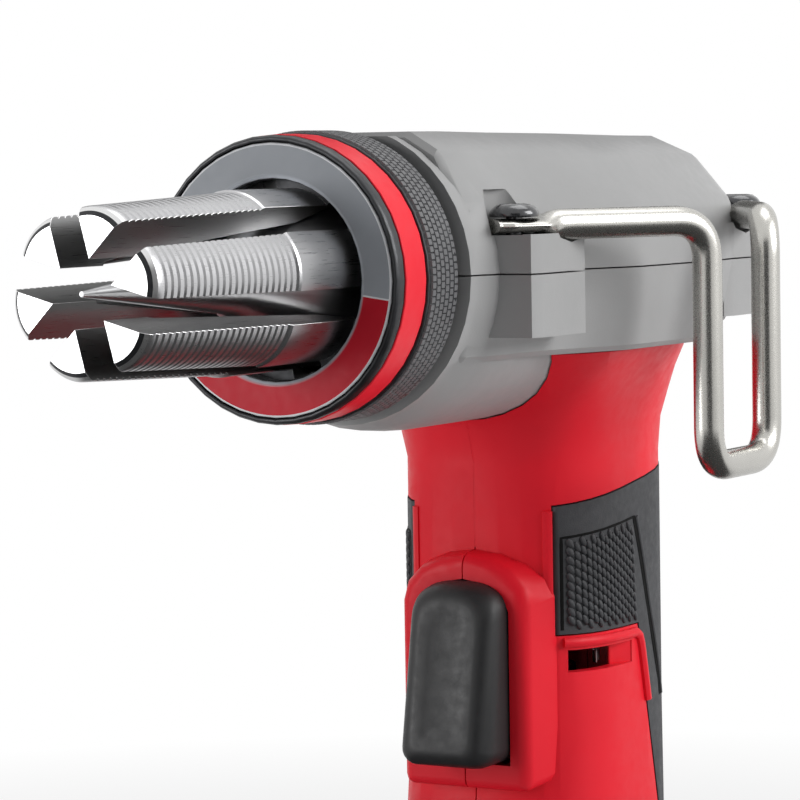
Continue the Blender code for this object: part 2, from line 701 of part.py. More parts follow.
def hook_pockets():
    """Room round each end of the hook, the screw holes under them and grooves for the wire."""
    tools = []
    for back, room in zip(SCREW_BACKS, POCKET_ROOM):
        place = upright(SCREW_SIDE, back, 0)
        tools.append(rod("pocket", EYE_RADIUS + room, SEAT_UP, 16 * MM, place, 28))
        tools.append(rod("hole", SCREW_SHANK + GAP, PAD_TOP - 14.5 * MM, PAD_TOP + MM, place, 12))
    points = hook_points()
    for (start, end), room in zip((points[:2], points[:-3:-1]), GROOVE_ROOM):
        earlier = start + (start - end).normalized() * 3 * MM
        tools.append(wire("groove", [earlier, end], WIRE_RADIUS + room))
    return tools


def make_housing():
    solid = housing_solid("housing")
    cut(solid, *housing_cavity(), *hook_pockets())
    whole = copied(solid)
    everywhere = (-BEYOND, BEYOND)
    above = box("above", everywhere, everywhere, (GAP / 2, BEYOND))
    below = box("below", everywhere, everywhere, (-BEYOND, -GAP / 2))
    part("housing_upper", keep(copied(whole), above), PALE, 0.5)
    part("housing_lower", keep(copied(whole), below), PALE, 0.5)


# Carry hook


def hook_points():
    """The wire's path: out from one screw, down a leg, along the bottom and back to the other."""
    front, rear = SCREW_BACKS
    first, second = HOOK_LEGS
    corners = [
        Vector((SCREW_SIDE, front, WIRE_UP)),
        Vector((HOOK_SIDE, first, WIRE_UP)),
        Vector((HOOK_SIDE, first, HOOK_BOTTOM)),
        Vector((HOOK_SIDE, second, HOOK_BOTTOM)),
        Vector((HOOK_SIDE, second, WIRE_UP)),
        Vector((SCREW_SIDE, rear, WIRE_UP)),
    ]
    lead = 8.5 * MM
    points = [corners[0] + (corners[1] - corners[0]).normalized() * lead]
    for before, corner, after in zip(corners, corners[1:], corners[2:]):
        points += bend(before, corner, after)
    points.append(corners[-1] + (corners[-2] - corners[-1]).normalized() * lead)
    return [world(*point) for point in points]


def bend(before, corner, after, steps=5):
    """A rounded corner, as points along a curve from one straight run to the next."""
    start = corner + (before - corner).normalized() * HOOK_BEND
    end = corner + (after - corner).normalized() * HOOK_BEND
    shares = [step / steps for step in range(steps + 1)]
    return [start * (1 - t) ** 2 + corner * 2 * t * (1 - t) + end * t**2 for t in shares]


def wire(name, points, radius):
    curve = bpy.data.curves.new(name, "CURVE")
    curve.dimensions = "3D"
    curve.bevel_depth = radius
    curve.bevel_resolution = 2
    curve.use_fill_caps = True
    spline = curve.splines.new("POLY")
    spline.points.add(len(points) - 1)
    for place, point in zip(spline.points, points):
        place.co = (*point, 1)
    drawn = bpy.data.objects.new(name, curve)
    GUIDES.objects.link(drawn)
    bpy.context.view_layer.update()
    shape = bmesh.new()
    shape.from_mesh(bpy.data.meshes.new_from_object(drawn.evaluated_get(
        bpy.context.evaluated_depsgraph_get())))
    bpy.data.objects.remove(drawn)
    return guide(name, mesh_from(name, shape))


def flat_end(back, toward):
    """The hammered end of the wire: a round eye that runs out into the wire."""
    way = Vector((HOOK_SIDE - SCREW_SIDE, toward - back)).normalized()
    side = Vector((-way.y, way.x))
    centre = Vector((SCREW_SIDE, back))
    outline = []
    for step in range(19):
        angle = math.radians(45 + 15 * step)
        outline.append(centre + EYE_RADIUS * (way * math.cos(angle) + side * math.sin(angle)))
    end = centre + way * 11.5 * MM
    outline += [end - side * 2.1 * MM, end + side * 2.1 * MM]
    low = SEAT_UP + GAP
    return prism("eye", [tuple(point) for point in outline], low, low + EYE_THICKNESS, "up")


def make_hook():
    shape = wire("hook", hook_points(), WIRE_RADIUS)
    for back, toward in zip(SCREW_BACKS, HOOK_LEGS):
        place = upright(SCREW_SIDE, back, 0)
        join(shape, flat_end(back, toward))
        cut(shape, rod("hole", SCREW_SHANK + GAP, 0, BEYOND, place, 12))
    part("carry_hook", shape, (0.5, 0.49, 0.46), 0.3, 1.0)
    top = SEAT_UP + GAP + EYE_THICKNESS + GAP
    profile = [
        (2.6 * MM, top + 2.9 * MM),
        (4.4 * MM, top + 1.8 * MM),
        (4.8 * MM, top),
        (SCREW_SHANK, top),
        (SCREW_SHANK, PAD_TOP - 14 * MM),
    ]
    for name, back in zip(("front", "rear"), SCREW_BACKS):
        screw = turned("screw", profile, upright(SCREW_SIDE, back, 0), 16)
        part(f"hook_screw_{name}", screw, BLACK, 0.25, 0.4)


# Handle


def handle_solid(name, grow=0.0, low=HANDLE_BOTTOM, high=HANDLE_TOP):
    """The handle's outer shape: it flares out at the top to meet the gear housing."""
    foot = (low, HANDLE_SIDE + 1.8 * MM, HANDLE_DEPTH + 2.1 * MM, STEM_BACK)
    head = (high, HANDLE_SIDE + 10.8 * MM, HANDLE_DEPTH + 10.6 * MM, HANDLE_BACK - 12.9 * MM)
    outlines = []
    for up, side, depth, back in (foot, *LOWER_SECTIONS, *UPPER_SECTIONS, head):
        outlines.append(oval(side + grow, depth + grow, back, up))
    return loft(name, outlines)


def hood():
    """The raised arch round the trigger."""
    outline = []
    for step in range(9):
        angle = math.pi * step / 8
        up = TRIGGER_TOP - 5 * MM + 10 * MM * math.sin(angle)
        outline.append((HOOD_SIDE * math.cos(angle), up))
    low = TRIGGER_BOTTOM - 6 * MM
    outline = [(HOOD_SIDE, low), *outline, (-HOOD_SIDE, low)]
    front = [world(x, HOOD_BACKS[0], up) for x, up in outline]
    rear = [world(x * 1.22, HOOD_BACKS[1], up + 2 * MM) for x, up in outline]
    return softened(loft("hood", [front, rear]), 2.2 * MM, 3)


def trigger_opening(grow=0.0):
    outline = []
    side = TRIGGER_SIDE + grow
    for step in range(7):
        angle = math.pi * step / 6
        outline.append((side * math.cos(angle), TRIGGER_TOP - 6 * MM + (6 * MM + grow) * math.sin(angle)))
    outline = [(side, TRIGGER_BOTTOM - grow), *outline, (-side, TRIGGER_BOTTOM - grow)]
    return outline


def grip_outline(inset=0.0):
    """The black grip's outline from the side, drawn in from the recess it lies in."""
    return [
        (GRIP_FRONT + inset, GRIP_TOP - 7.2 * MM - inset),
        (GRIP_REAR, GRIP_TOP - inset),
        (GRIP_REAR, GRIP_BOTTOM + inset),
        (GRIP_FRONT + 36.6 * MM + inset, GRIP_BOTTOM + inset),
        (GRIP_FRONT + 27.6 * MM + inset, GRIP_STEP - 14.4 * MM),
        (GRIP_FRONT + 24.4 * MM + inset, GRIP_STEP + inset),
        (GRIP_FRONT + inset, GRIP_STEP + inset),
    ]


def make_handle():
    outer = join(handle_solid("handle"), hood())
    hollow = handle_solid("hollow", -WALL, HANDLE_BOTTOM - 8 * MM, HANDLE_TOP + 6 * MM)
    region = prism("region", grip_outline(), -BEYOND, BEYOND)
    recess = cut(keep(handle_solid("skin", 2 * MM), region), handle_solid("floor", -GRIP_DEPTH))
    opening = [world(x, 0, up) for x, up in trigger_opening(GAP)]
    opening_rear = [world(x, SWITCH_BACKS[0] + 4 * MM, up) for x, up in trigger_opening(GAP)]
    slot = box("vent", (-BEYOND, BEYOND), VENT_BACKS, VENT_LEVELS)
    cut(outer, hollow, recess, loft("opening", [opening, opening_rear]), slot)
    neck = rod("neck", NECK_RADIUS, MOTOR_TOP - 11.7 * MM, 0, upright(0, MOTOR_BACK), 32)
    cut(outer, housing_solid("saddle", GAP), neck)
    everywhere = (-BEYOND, BEYOND)
    left = box("left", (GAP / 2, BEYOND), everywhere, everywhere)
    right = box("right", (-BEYOND, -GAP / 2), everywhere, everywhere)
    whole = copied(outer)
    part("handle_left", keep(copied(whole), left), RED, 0.4)
    part("handle_right", keep(copied(whole), right), RED, 0.4)
    make_grips(left, right)


def make_grips(left, right):
    """Soft grip skins that fill the recesses in the handle."""
    region = prism("grip_region", grip_outline(GAP), -BEYOND, BEYOND)
    skin = handle_solid("grip", 0.15 * MM)
    cut(skin, handle_solid("grip_floor", GAP - GRIP_DEPTH))
    whole = copied(keep(skin, region))
    part("grip_left", keep(copied(whole), left), BLACK, 0.65)
    part("grip_right", keep(copied(whole), right), BLACK, 0.65)


def make_trigger():
    """The trigger leans forward towards its lower end and carries a stem to the switch."""
    outline = trigger_opening(0)
    front = [world(x, TRIGGER_FRONT + (up - TRIGGER_TOP) * 0.18, up) for x, up in outline]
    rear = [world(x, TRIGGER_REAR, up) for x, up in outline]
    shape = softened(loft("trigger_pad", [front, rear]), 2.4 * MM, 3, 50)
    reach = (TRIGGER_REAR - 3 * MM, SWITCH_BACKS[0] + MM)
    stem = box("stem", (-4 * MM, 4 * MM), reach, STEM_LEVELS)
    part("trigger", join(shape, stem), BLACK, 0.45)


def make_switch():
    body = box("switch", (-9 * MM, 9 * MM), SWITCH_BACKS, SWITCH_LEVELS)
    low, high = STEM_LEVELS
    front = SWITCH_BACKS[0]
    levels = (low - 0.5 * MM, high + 0.5 * MM)
    room = box("room", (-4.5 * MM, 4.5 * MM), (front - 4 * MM, front + 8 * MM), levels)
    part("switch_body", cut(softened(body, MM), room), BLACK, 0.5, smooth=False)


def make_motor():
    place = upright(0, MOTOR_BACK)
    case_radius = NECK_RADIUS - MM
    shoulder = GEARBOX_TOP - 4.8 * MM
    case = [
        (case_radius + 0.6 * MM, GEARBOX_TOP),
        (case_radius + 0.6 * MM, shoulder),
        (case_radius, shoulder),
        (case_radius, GEARBOX_BOTTOM),
    ]
    gearbox = cut(turned("gearbox", case, place, 24), rod("room", 4.4 * MM, shoulder, 0, place, 16))
    part("gearbox_case", gearbox, STEEL, 0.4, 0.9)
    can = rod("can", MOTOR_RADIUS, MOTOR_BOTTOM, MOTOR_TOP, place)
    inside = rod("inside", 11.4 * MM, MOTOR_BOTTOM + 2 * MM, MOTOR_TOP - 1.7 * MM, place)
    lows = (MOTOR_BOTTOM + 3 * MM, MOTOR_TOP - 8.7 * MM)
    across = (MOTOR_BACK - 3 * MM, MOTOR_BACK + 3 * MM)
    ports = [box("port", (-BEYOND, BEYOND), across, (low, low + 4 * MM)) for low in lows]
    part("motor_stator", cut(can, inside, *ports), STEEL, 0.35, 0.9)
    core_low, core_high = MOTOR_BOTTOM + 8 * MM, MOTOR_TOP - 9.7 * MM
    core = [
        (2.4 * MM, MOTOR_TOP - 3.2 * MM),
        (2.4 * MM, core_high),
        (11 * MM, core_high),
        (11 * MM, core_low),
        (2.4 * MM, core_low),
        (2.4 * MM, MOTOR_BOTTOM + 2.5 * MM),
    ]
    origin = world(0, MOTOR_BACK, 0)
    part("motor_rotor", turned("rotor", core, place, 20), (0.5, 0.3, 0.15), 0.4, 0.9, origin=origin)


# Battery


def rounded_foot(low, high, inset=0.0):
    """The foot's plan is a rounded rectangle, centred on the origin."""
    middle = FACE_TO_ORIGIN
    outline = []
    radius = FOOT_CORNER
    for sx, sy, start in ((1, 1, 0), (-1, 1, 90), (-1, -1, 180), (1, -1, 270)):
        for step in range(4):
            angle = math.radians(start + 30 * step)
            x = sx * (FOOT_SIDE - radius) + (radius - inset) * math.cos(angle)
            back = middle + sy * (FOOT_LENGTH / 2 - radius) + (radius - inset) * math.sin(angle)
            outline.append((x, back))
    return prism("foot", outline, low, high, "up")


def stem_solid(grow, low, high):
    side, depth = HANDLE_SIDE - 2.6 * MM, HANDLE_DEPTH - 4.9 * MM
    low_ring = oval(side + grow, depth + grow, STEM_BACK, low)
    high_ring = oval(side - 0.7 * MM + grow, depth - 0.5 * MM + grow, STEM_BACK, high)
    return loft("stem", [low_ring, high_ring])


def make_battery():
    floor = -AXIS_UP
    foot = softened(rounded_foot(FOOT_SPLIT + GAP / 2, FOOT_TOP), 1.8 * MM)
    top = join(foot, stem_solid(0, FOOT_TOP - 2 * MM, BATTERY_TOP))
    cut(top, rounded_foot(FOOT_SPLIT - MM, FOOT_TOP - 2 * MM, 2 * MM))
    cut(top, stem_solid(-1.2 * MM, FOOT_TOP - 6 * MM, BATTERY_TOP - 1.6 * MM))
    for sign in (1, -1):
        ends = sorted((sign * BEYOND, sign * (FOOT_SIDE - 5 * MM)))
        cut(top, box("latch_hole", ends, LATCH_BACKS, LATCH_LEVELS))
    part("battery_cover", top, BLACK, 0.5)
    base = softened(rounded_foot(floor, FOOT_SPLIT - GAP / 2), 1.2 * MM)
    tray = rounded_foot(floor + 2 * MM, FOOT_SPLIT + MM, 2 * MM)
    part("battery_base", cut(base, tray), BLACK, 0.55)
    for index, (x, back) in enumerate(CELL_PLACES):
        place = upright(x, back, 0)
        cell = rod("cell", CELL_RADIUS, floor + 2.4 * MM, BATTERY_TOP - 2 * MM, place, 16)
        part(f"battery_cell_{index + 1}", cell, (0.05, 0.2, 0.12), 0.4)
    make_latches()


def make_latches():
    """Buttons on both sides of the foot that free the battery."""
    for name, sign in (("left", 1), ("right", -1)):
        ends = sorted((sign * (FOOT_SIDE + 0.8 * MM), sign * (FOOT_SIDE - 4 * MM)))
        backs = (LATCH_BACKS[0] + GAP, LATCH_BACKS[1] - GAP)
        levels = (LATCH_LEVELS[0] + GAP, LATCH_LEVELS[1] - GAP)
        button = box("button", ends, backs, levels)
        part(f"latch_{name}", softened(button, 0.8 * MM), RED, 0.45)


def make_contact_block():
    backs = (STEM_BACK - 12 * MM, STEM_BACK + 14 * MM)
    levels = (BATTERY_TOP + 0.4 * MM, SWITCH_LEVELS[0] - GAP)
    block = box("block", (-15 * MM, 15 * MM), backs, levels)
    part("contact_block", softened(block, 0.6 * MM), BLACK, 0.5, smooth=False)


make_cone()
make_jaws()
make_thrust_ring()
make_collar()
make_nose_barrel()
make_push_rod()
make_cam()
make_gears()
make_housing()
make_hook()
make_handle()
make_trigger()
make_switch()
make_motor()
make_battery()
make_contact_block()
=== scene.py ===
"""Looks of the pipe expansion tool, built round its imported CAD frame.

Metres, +Z up, head pointing to -Y. Places are given as in the CAD: x to the tool's left, "back"
behind the collar's face and "up" above the head's axis.
"""

import math

import bmesh
import bpy
from mathutils import Matrix, Vector

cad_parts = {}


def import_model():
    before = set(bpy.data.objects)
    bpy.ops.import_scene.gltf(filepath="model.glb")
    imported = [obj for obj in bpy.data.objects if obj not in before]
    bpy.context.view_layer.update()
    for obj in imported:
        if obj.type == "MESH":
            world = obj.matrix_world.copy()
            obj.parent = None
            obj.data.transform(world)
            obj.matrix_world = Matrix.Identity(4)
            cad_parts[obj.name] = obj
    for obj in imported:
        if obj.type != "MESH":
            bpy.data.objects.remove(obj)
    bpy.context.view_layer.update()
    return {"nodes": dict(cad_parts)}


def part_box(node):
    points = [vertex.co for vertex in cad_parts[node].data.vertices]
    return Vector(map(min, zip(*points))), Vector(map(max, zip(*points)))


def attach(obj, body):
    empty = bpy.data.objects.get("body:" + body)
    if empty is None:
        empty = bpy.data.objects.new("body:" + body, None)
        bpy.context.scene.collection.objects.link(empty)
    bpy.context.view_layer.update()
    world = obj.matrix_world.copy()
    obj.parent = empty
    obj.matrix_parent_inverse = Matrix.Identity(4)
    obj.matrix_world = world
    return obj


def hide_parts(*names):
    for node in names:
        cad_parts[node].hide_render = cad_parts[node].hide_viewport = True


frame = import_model()

MM = 0.001
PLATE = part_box("face_plate")
HEAD = Vector((0, PLATE[0].y, (PLATE[0].z + PLATE[1].z) / 2))

# Camera: where it stands as seen from the centre of the collar's face
CAMERA_TURN = math.radians(30.05)
CAMERA_RISE = math.radians(3.98)
CAMERA_ROLL = math.radians(-0.959)
CAMERA_DISTANCE = 647.5 * MM
CAMERA_RIGHT = 23.6 * MM
CAMERA_DOWN = 22.1 * MM
CAMERA_LENS = 157.5

# Expander head
JAW_COUNT = 6
JAW_FIRST_ANGLE = math.radians(15)
JAW_OFFSET = 6.2 * MM
JAW_TIP_RADIUS = 9 * MM
JAW_STEP_RADIUS = 10.6 * MM
JAW_NECK_RADIUS = 11 * MM
JAW_FLANGE_RADIUS = 18.9 * MM
JAW_FLANGE_DEPTH = 5.6 * MM
JAW_RIBBED = 44 * MM
JAW_COLUMNS = 14
JAW_EDGE = 0.16 * MM
STROKE = 14 * MM

# The jaw's looks, in the order of its materials: its steel, a darker copy as painted shade, a lighter copy
# as painted highlight, and black lines
JAW_LOOKS = ("jaw", "jaw_shade", "jaw_highlight", "jaw_line")
RIBBED, SHADED, HIGHLIGHT, LINE = range(4)

# One rib as (share of the pitch, height in millimetres, look)
RIB_COUNT = 22
RIB_START = 1.4 * MM
RIB_END = 0.8 * MM
RIB_SHAPE = ((0.15, 0.06, RIBBED), (0.72, 0.1, RIBBED), (0.86, -0.24, LINE), (0.97, -0.2, RIBBED))

# Collar
KNURL_ROWS = 6
KNURL_COLUMNS = 128
KNURL_FRONT = 11.3 * MM
KNURL_ROW_DEPTH = 1.63 * MM
KNURL_SINK = 0.25 * MM

# A knurl pad's foot and top as (share of its field, height over the collar)
PAD_RINGS = ((0.94, -0.2 * MM), (0.74, 0.22 * MM))

# The collar's face: where its red sector starts and ends, and the hole in it
FACE_SPLITS = (math.radians(-8), math.radians(-150))
HOLE_RADIUS = 18.7 * MM

# Hook
WIRE_RADIUS = 2.95 * MM
WIRE_UP = 9.1 * MM
HOOK_SIDE = 53.7 * MM
HOOK_LEGS = (74.5 * MM, 102.3 * MM)
HOOK_BOTTOM = -39.5 * MM
HOOK_BEND = 8 * MM
HOOK_BEND_STEPS = 12
HOOK_SIDES = 28

# Sections of the wire's ends, in millimetres from the screw's centre
HOOK_END_STEPS = (-5.2, -4.6, -3, 0, 3, 4.5, 5.5, 6.5, 8, 9.5, 12)

# Places of the hook's screws
SCREW_SIDE = 31.2 * MM
SCREW_BACKS = (36.8 * MM, 138.6 * MM)

# The wire's hammered ends, with half widths and half heights
EYE_UP = 9.05 * MM
EYE_HALF_HEIGHT = 1.4 * MM
EYE_HALF_WIDTH = 5.4 * MM
EYE_TIP_HALF_WIDTH = 3.6 * MM
EYE_TIP_LENGTH = 0.7 * MM
EYE_LENGTH = 9.5 * MM
EYE_TAPER = 5 * MM

# Screws: profiles are (radius, height, lobe) in millimetres
HOOK_SCREW_HEIGHT = 2.9 * MM
HOOK_SCREW_SHANK = ((1.6, -4, 0), (1.6, -0.2, 0))
RIGHT_SCREWS = ((38.6 * MM, 78 * MM, -9 * MM), (22.9 * MM, 103 * MM, -89 * MM))
BOSS_LOOKS = ("grey", "shadow")
BOSS_PROFILE = (
    (3.5, -1, 0),
    (3.5, 0.6, 0),
    (3.3, 0.85, 0),
    (2.75, 0.85, 0),
    (2.6, 0.65, 0),
    (2.6, -0.6, 0),
)

# Handle
HANDLE_SIDE = 23.35 * MM
HANDLE_DEPTH = 26.55 * MM
HANDLE_BACK = 102.4 * MM
PANEL_TOP = ((81.2 * MM, -56.3 * MM), (101.4 * MM, -54.0 * MM))
PANEL_BOTTOM = ((81.2 * MM, -73.9 * MM), (103 * MM, -74.3 * MM))
PANEL_COLUMNS = 16
PANEL_ROWS = 10
SCALE_WIDTH = 0.66 * MM
SCALE_HEIGHT = 1.16 * MM
SCALE_SLANT = 0.3

# One scale of the grip's texture as rings of (size, height)
SCALE_RINGS = ((1.0, -0.2 * MM), (0.92, 0.22 * MM), (0.6, 0.4 * MM), (0.2, 0.45 * MM))

# Lines on the handle's side as (back, up)
GROOVE_PATH = (
    (80.4 * MM, -74.4 * MM),
    (80.4 * MM, -55.5 * MM),
    (102.3 * MM, -53 * MM),
    (105.4 * MM, -62 * MM),
    (108.4 * MM, -72 * MM),
    (112.2 * MM, -82 * MM),
    (115.9 * MM, -92 * MM),
)
RIBBON_STEP = 1.2 * MM
LIP_PATH = (
    (80.6 * MM, -77 * MM),
    (102.6 * MM, -77.2 * MM),
    (104.1 * MM, -78 * MM),
    (105 * MM, -80 * MM),
    (107.9 * MM, -92 * MM),
)
SEAM_PATH = ((78.7 * MM, -50 * MM), (78.7 * MM, -93 * MM))
SLOT_BACKS = (81.5 * MM, 101 * MM)
SLOT_LEVELS = (-83.2 * MM, -78.6 * MM)

# Outlines behind the slot, in millimetres: the ramp's as (x, back from the slot's rear end), the tab's
# as (x, back)
VENT_RAMP = ((23.1, 0.4), (20, 0.4), (20, -5), (20.4, -5))
BRUSH_TAB = ((19.6, 92), (19, 92), (17.5, 94), (17.5, 96.4), (18.1, 96.4), (18.1, 94.2))

# Seams between the handle's halves, as (back, up) in millimetres
SEAM_FRONT = ((54.5, -17.5), (60.5, -22), (68, -27), (73.9, -33), (76, -40), (76, -57.6))
SEAM_HOOD = ((75.9, -58.35), (73.4, -58.8), (71.9, -59.7), (71, -61), (70.8, -63))
SEAM_REAR = ((126.4, -17.5), (128.6, -22), (130, -27), (129.1, -33), (128.8, -40), (128.8, -94))
SEAM_SECTION = ((-0.13, 0.1), (0.13, 0.1), (0.13, 0.8), (-0.13, 0.8))

# Trigger
TRIGGER_SIDE = 10.2 * MM
TRIGGER_TOP = -63.8 * MM
TRIGGER_BOTTOM = -101 * MM
TRIGGER_FRONT = 65.4 * MM
TRIGGER_REAR = 79 * MM
TRIGGER_LEAN = 0.18
TRIGGER_ARCH = 7 * MM
TRIGGER_SQUARENESS = 0.78
TRIGGER_CORNER = 3.4 * MM
TRIGGER_STEM = (8 * MM, 9 * MM, 8 * MM)

# Sheets of painted shade stand in the vent beside the trigger's way
SHADE_SIDES = (TRIGGER_SIDE + 1.2 * MM, TRIGGER_SIDE + 2.8 * MM)

# The trigger's crown as (inset, depth behind its leaning face); no depth means its flat rear
TRIGGER_CROWN = (
    (0, None),
    (0, 5 * MM),
    (0.25 * MM, 3.2 * MM),
    (0.8 * MM, 1.8 * MM),
    (1.6 * MM, 0.8 * MM),
    (2.7 * MM, 0.2 * MM),
    (4 * MM, 0),
    (6 * MM, 0.25 * MM),
    (8 * MM, 0.4 * MM),
)

# Battery
LATCH_RIB_PITCH = 2.2 * MM
LATCH_RIB_INSET = 2.2

# Colours
GREY = (0.37, 0.37, 0.37)
RED = (0.8, 0.011, 0.026)
BRIGHT_RED = (0.88, 0.016, 0.034)
BLACK = (0.022, 0.022, 0.024)
RUBBER = (0.034, 0.035, 0.039)
STEEL = (0.62, 0.62, 0.63)
NICKEL = (0.52, 0.51, 0.48)


def world(x, back, up):
    """The point at a place given as in the CAD."""
    return Vector((HEAD.x + x, HEAD.y + back, HEAD.z + up))


# Materials


class Look:
    """A Principled material and short calls for the nodes round it."""

    def __init__(self, name, colour, roughness, metallic=0.0, **constants):
        self.made = bpy.data.materials.new(name)
        self.made.use_nodes = True
        self.tree = self.made.node_tree
        self.shader = self.tree.nodes["Principled BSDF"]
        self.shader.inputs["Base Color"].default_value = (*colour, 1)
        self.shader.inputs["Roughness"].default_value = roughness
        self.shader.inputs["Metallic"].default_value = metallic
        for socket, value in constants.items():
            self.shader.inputs[socket.replace("_", " ")].default_value = value
        self.place = self.node("ShaderNodeTexCoord").outputs["Object"]

    def node(self, kind, **settings):
        made = self.tree.nodes.new(kind)
        for name, value in settings.items():
            setattr(made, name, value)
        return made

    def link(self, source, socket):
        if hasattr(source, "is_output"):
            self.tree.links.new(source, socket)
        else:
            socket.default_value = source

    def grain(self, scale, detail=3.0, stretch=(1, 1, 1)):
        """Noise in object space, drawn out by the stretch along each axis."""
        scaled = self.node("ShaderNodeMapping")
        scaled.inputs["Scale"].default_value = stretch
        self.link(self.place, scaled.inputs["Vector"])
        made = self.node("ShaderNodeTexNoise")
        made.inputs["Scale"].default_value = scale
        made.inputs["Detail"].default_value = detail
        made.inputs["Roughness"].default_value = 0.55
        self.link(scaled.outputs["Vector"], made.inputs["Vector"])
        return made.outputs["Fac"]

    def span(self, source, low, high, start=0.3, end=0.7):
        """Maps a value from one range to another."""
        made = self.node("ShaderNodeMapRange")
        for name, value in zip(("From Min", "From Max", "To Min", "To Max"), (start, end, low, high)):
            made.inputs[name].default_value = value
        self.link(source, made.inputs["Value"])
        return made.outputs["Result"]

    def maths(self, operation, first, second=0.0):
        made = self.node("ShaderNodeMath", operation=operation)
        self.link(first, made.inputs[0])
        self.link(second, made.inputs[1])
        return made.outputs["Value"]

    def mix(self, share, first, second):
        made = self.node("ShaderNodeMix", data_type="RGBA")
        self.link(share, made.inputs["Factor"])
        self.link(first, made.inputs[6])
        self.link(second, made.inputs[7])
        return made.outputs[2]

    def paint(self, colour):
        self.link(colour, self.shader.inputs["Base Color"])

    def rough(self, value):
        self.link(value, self.shader.inputs["Roughness"])

    def bump(self, height, distance):
        made = self.node("ShaderNodeBump")
        made.inputs["Distance"].default_value = distance
        made.inputs["Strength"].default_value = 1.0
        self.link(height, made.inputs["Height"])
        before = self.shader.inputs["Normal"]
        if before.is_linked:
            self.link(before.links[0].from_socket, made.inputs["Normal"])
        self.link(made.outputs["Normal"], before)

    def vary(self, colour, amount, scale):
        """Lets the colour drift a little lighter and darker over the surface."""
        dark = tuple(value * (1 - amount) for value in colour)
        light = tuple(min(1, value * (1 + amount)) for value in colour)
        share = self.span(self.grain(scale), 0, 1)
        self.paint(self.mix(share, (*dark, 1), (*light, 1)))


def moulded(name, colour, roughness, texture, **constants):
    """Moulded plastic: a spark-eroded grain, faint flow marks and uneven gloss."""
    look = Look(name, colour, roughness, **constants)
    look.vary(colour, 0.025, 55)
    look.rough(look.span(look.grain(420, 4), roughness - 0.06, roughness + 0.08))
    look.bump(look.grain(2600, 2), 0.02 * MM * texture)
    look.bump(look.grain(90, 2), 0.015 * MM * texture)
    return look.made


def rubbery():
    """Soft rubber: a fine matt grain and dusty patches."""
    look = Look("soft_grip_rubber", RUBBER, 0.62)
    look.vary(RUBBER, 0.14, 140)
    look.rough(look.span(look.grain(600, 4), 0.55, 0.72))
    look.bump(look.grain(3200, 3), 0.05 * MM)
    return look.made


def machined(name, colour, roughness, lines=(1, 0.02, 1), depth=1.0):
    """Turned or ground steel: fine lines along one way, uneven gloss and faint staining."""
    look = Look(name, colour, roughness, 1.0)
    look.vary(colour, 0.04, 70)
    fine = look.grain(5200, 3, lines)
    look.rough(look.span(fine, roughness - 0.04, roughness + 0.06))
    look.bump(fine, 0.003 * MM * depth)
    return look.made


def blackened(name, roughness, gloss):
    """Black oxide over steel, worn a little paler on the high spots."""
    look = Look(name, BLACK, roughness, 0.55, Coat_Weight=gloss, Coat_Roughness=0.12)
    look.vary((0.03, 0.031, 0.034), 0.3, 300)
    look.rough(look.span(look.grain(700, 4), roughness - 0.08, roughness + 0.1))
    look.bump(look.grain(2400, 3), 0.02 * MM)
    return look.made


def face_print():
    """The collar's face: blue grey above, a red sector below, thin pale lines between them, and a painted
    highlight round the hole.
    """
    look = Look("collar_face_print", (0.3, 0.32, 0.36), 0.4, Specular_IOR_Level=0.2)
    apart = look.node("ShaderNodeSeparateXYZ")
    look.link(look.place, apart.inputs["Vector"])
    side = apart.outputs["X"]
    height = look.maths("SUBTRACT", apart.outputs["Z"], HEAD.z)
    angle = look.maths("ARCTAN2", height, side)
    squares = look.maths("ADD", look.maths("POWER", side, 2.0), look.maths("POWER", height, 2.0))
    radius = look.maths("SQRT", squares)
    before = look.maths("LESS_THAN", angle, FACE_SPLITS[0])
    after = look.maths("GREATER_THAN", angle, FACE_SPLITS[1])
    red = look.maths("MULTIPLY", before, after)
    shade = look.span(look.grain(45), 0, 1)
    grey = look.mix(shade, (0.34, 0.36, 0.39, 1), (0.38, 0.4, 0.43, 1))
    crimson = look.mix(shade, (0.56, 0.008, 0.022, 1), (0.62, 0.01, 0.028, 1))
    colour = look.mix(red, grey, crimson)
    for split in FACE_SPLITS:
        off = look.maths("ABSOLUTE", look.maths("SUBTRACT", angle, split))
        arc = look.maths("MULTIPLY", off, radius)
        colour = look.mix(look.maths("LESS_THAN", arc, 0.16 * MM), colour, (0.8, 0.81, 0.83, 1))
    rim = PLATE[1].x
    colour = look.mix(look.maths("GREATER_THAN", radius, rim - 0.45 * MM), colour, (0.82, 0.83, 0.85, 1))
    # A pale ring round the hole: painted highlight of its chamfer
    hole = look.span(radius, 1, 0, HOLE_RADIUS + 0.5 * MM, HOLE_RADIUS + 1.1 * MM)
    colour = look.mix(hole, colour, (0.62, 0.65, 0.7, 1))
    look.paint(colour)
    look.rough(look.span(look.grain(500, 4), 0.3, 0.45))
    look.bump(look.grain(2600, 2), 0.008 * MM)
    return look.made


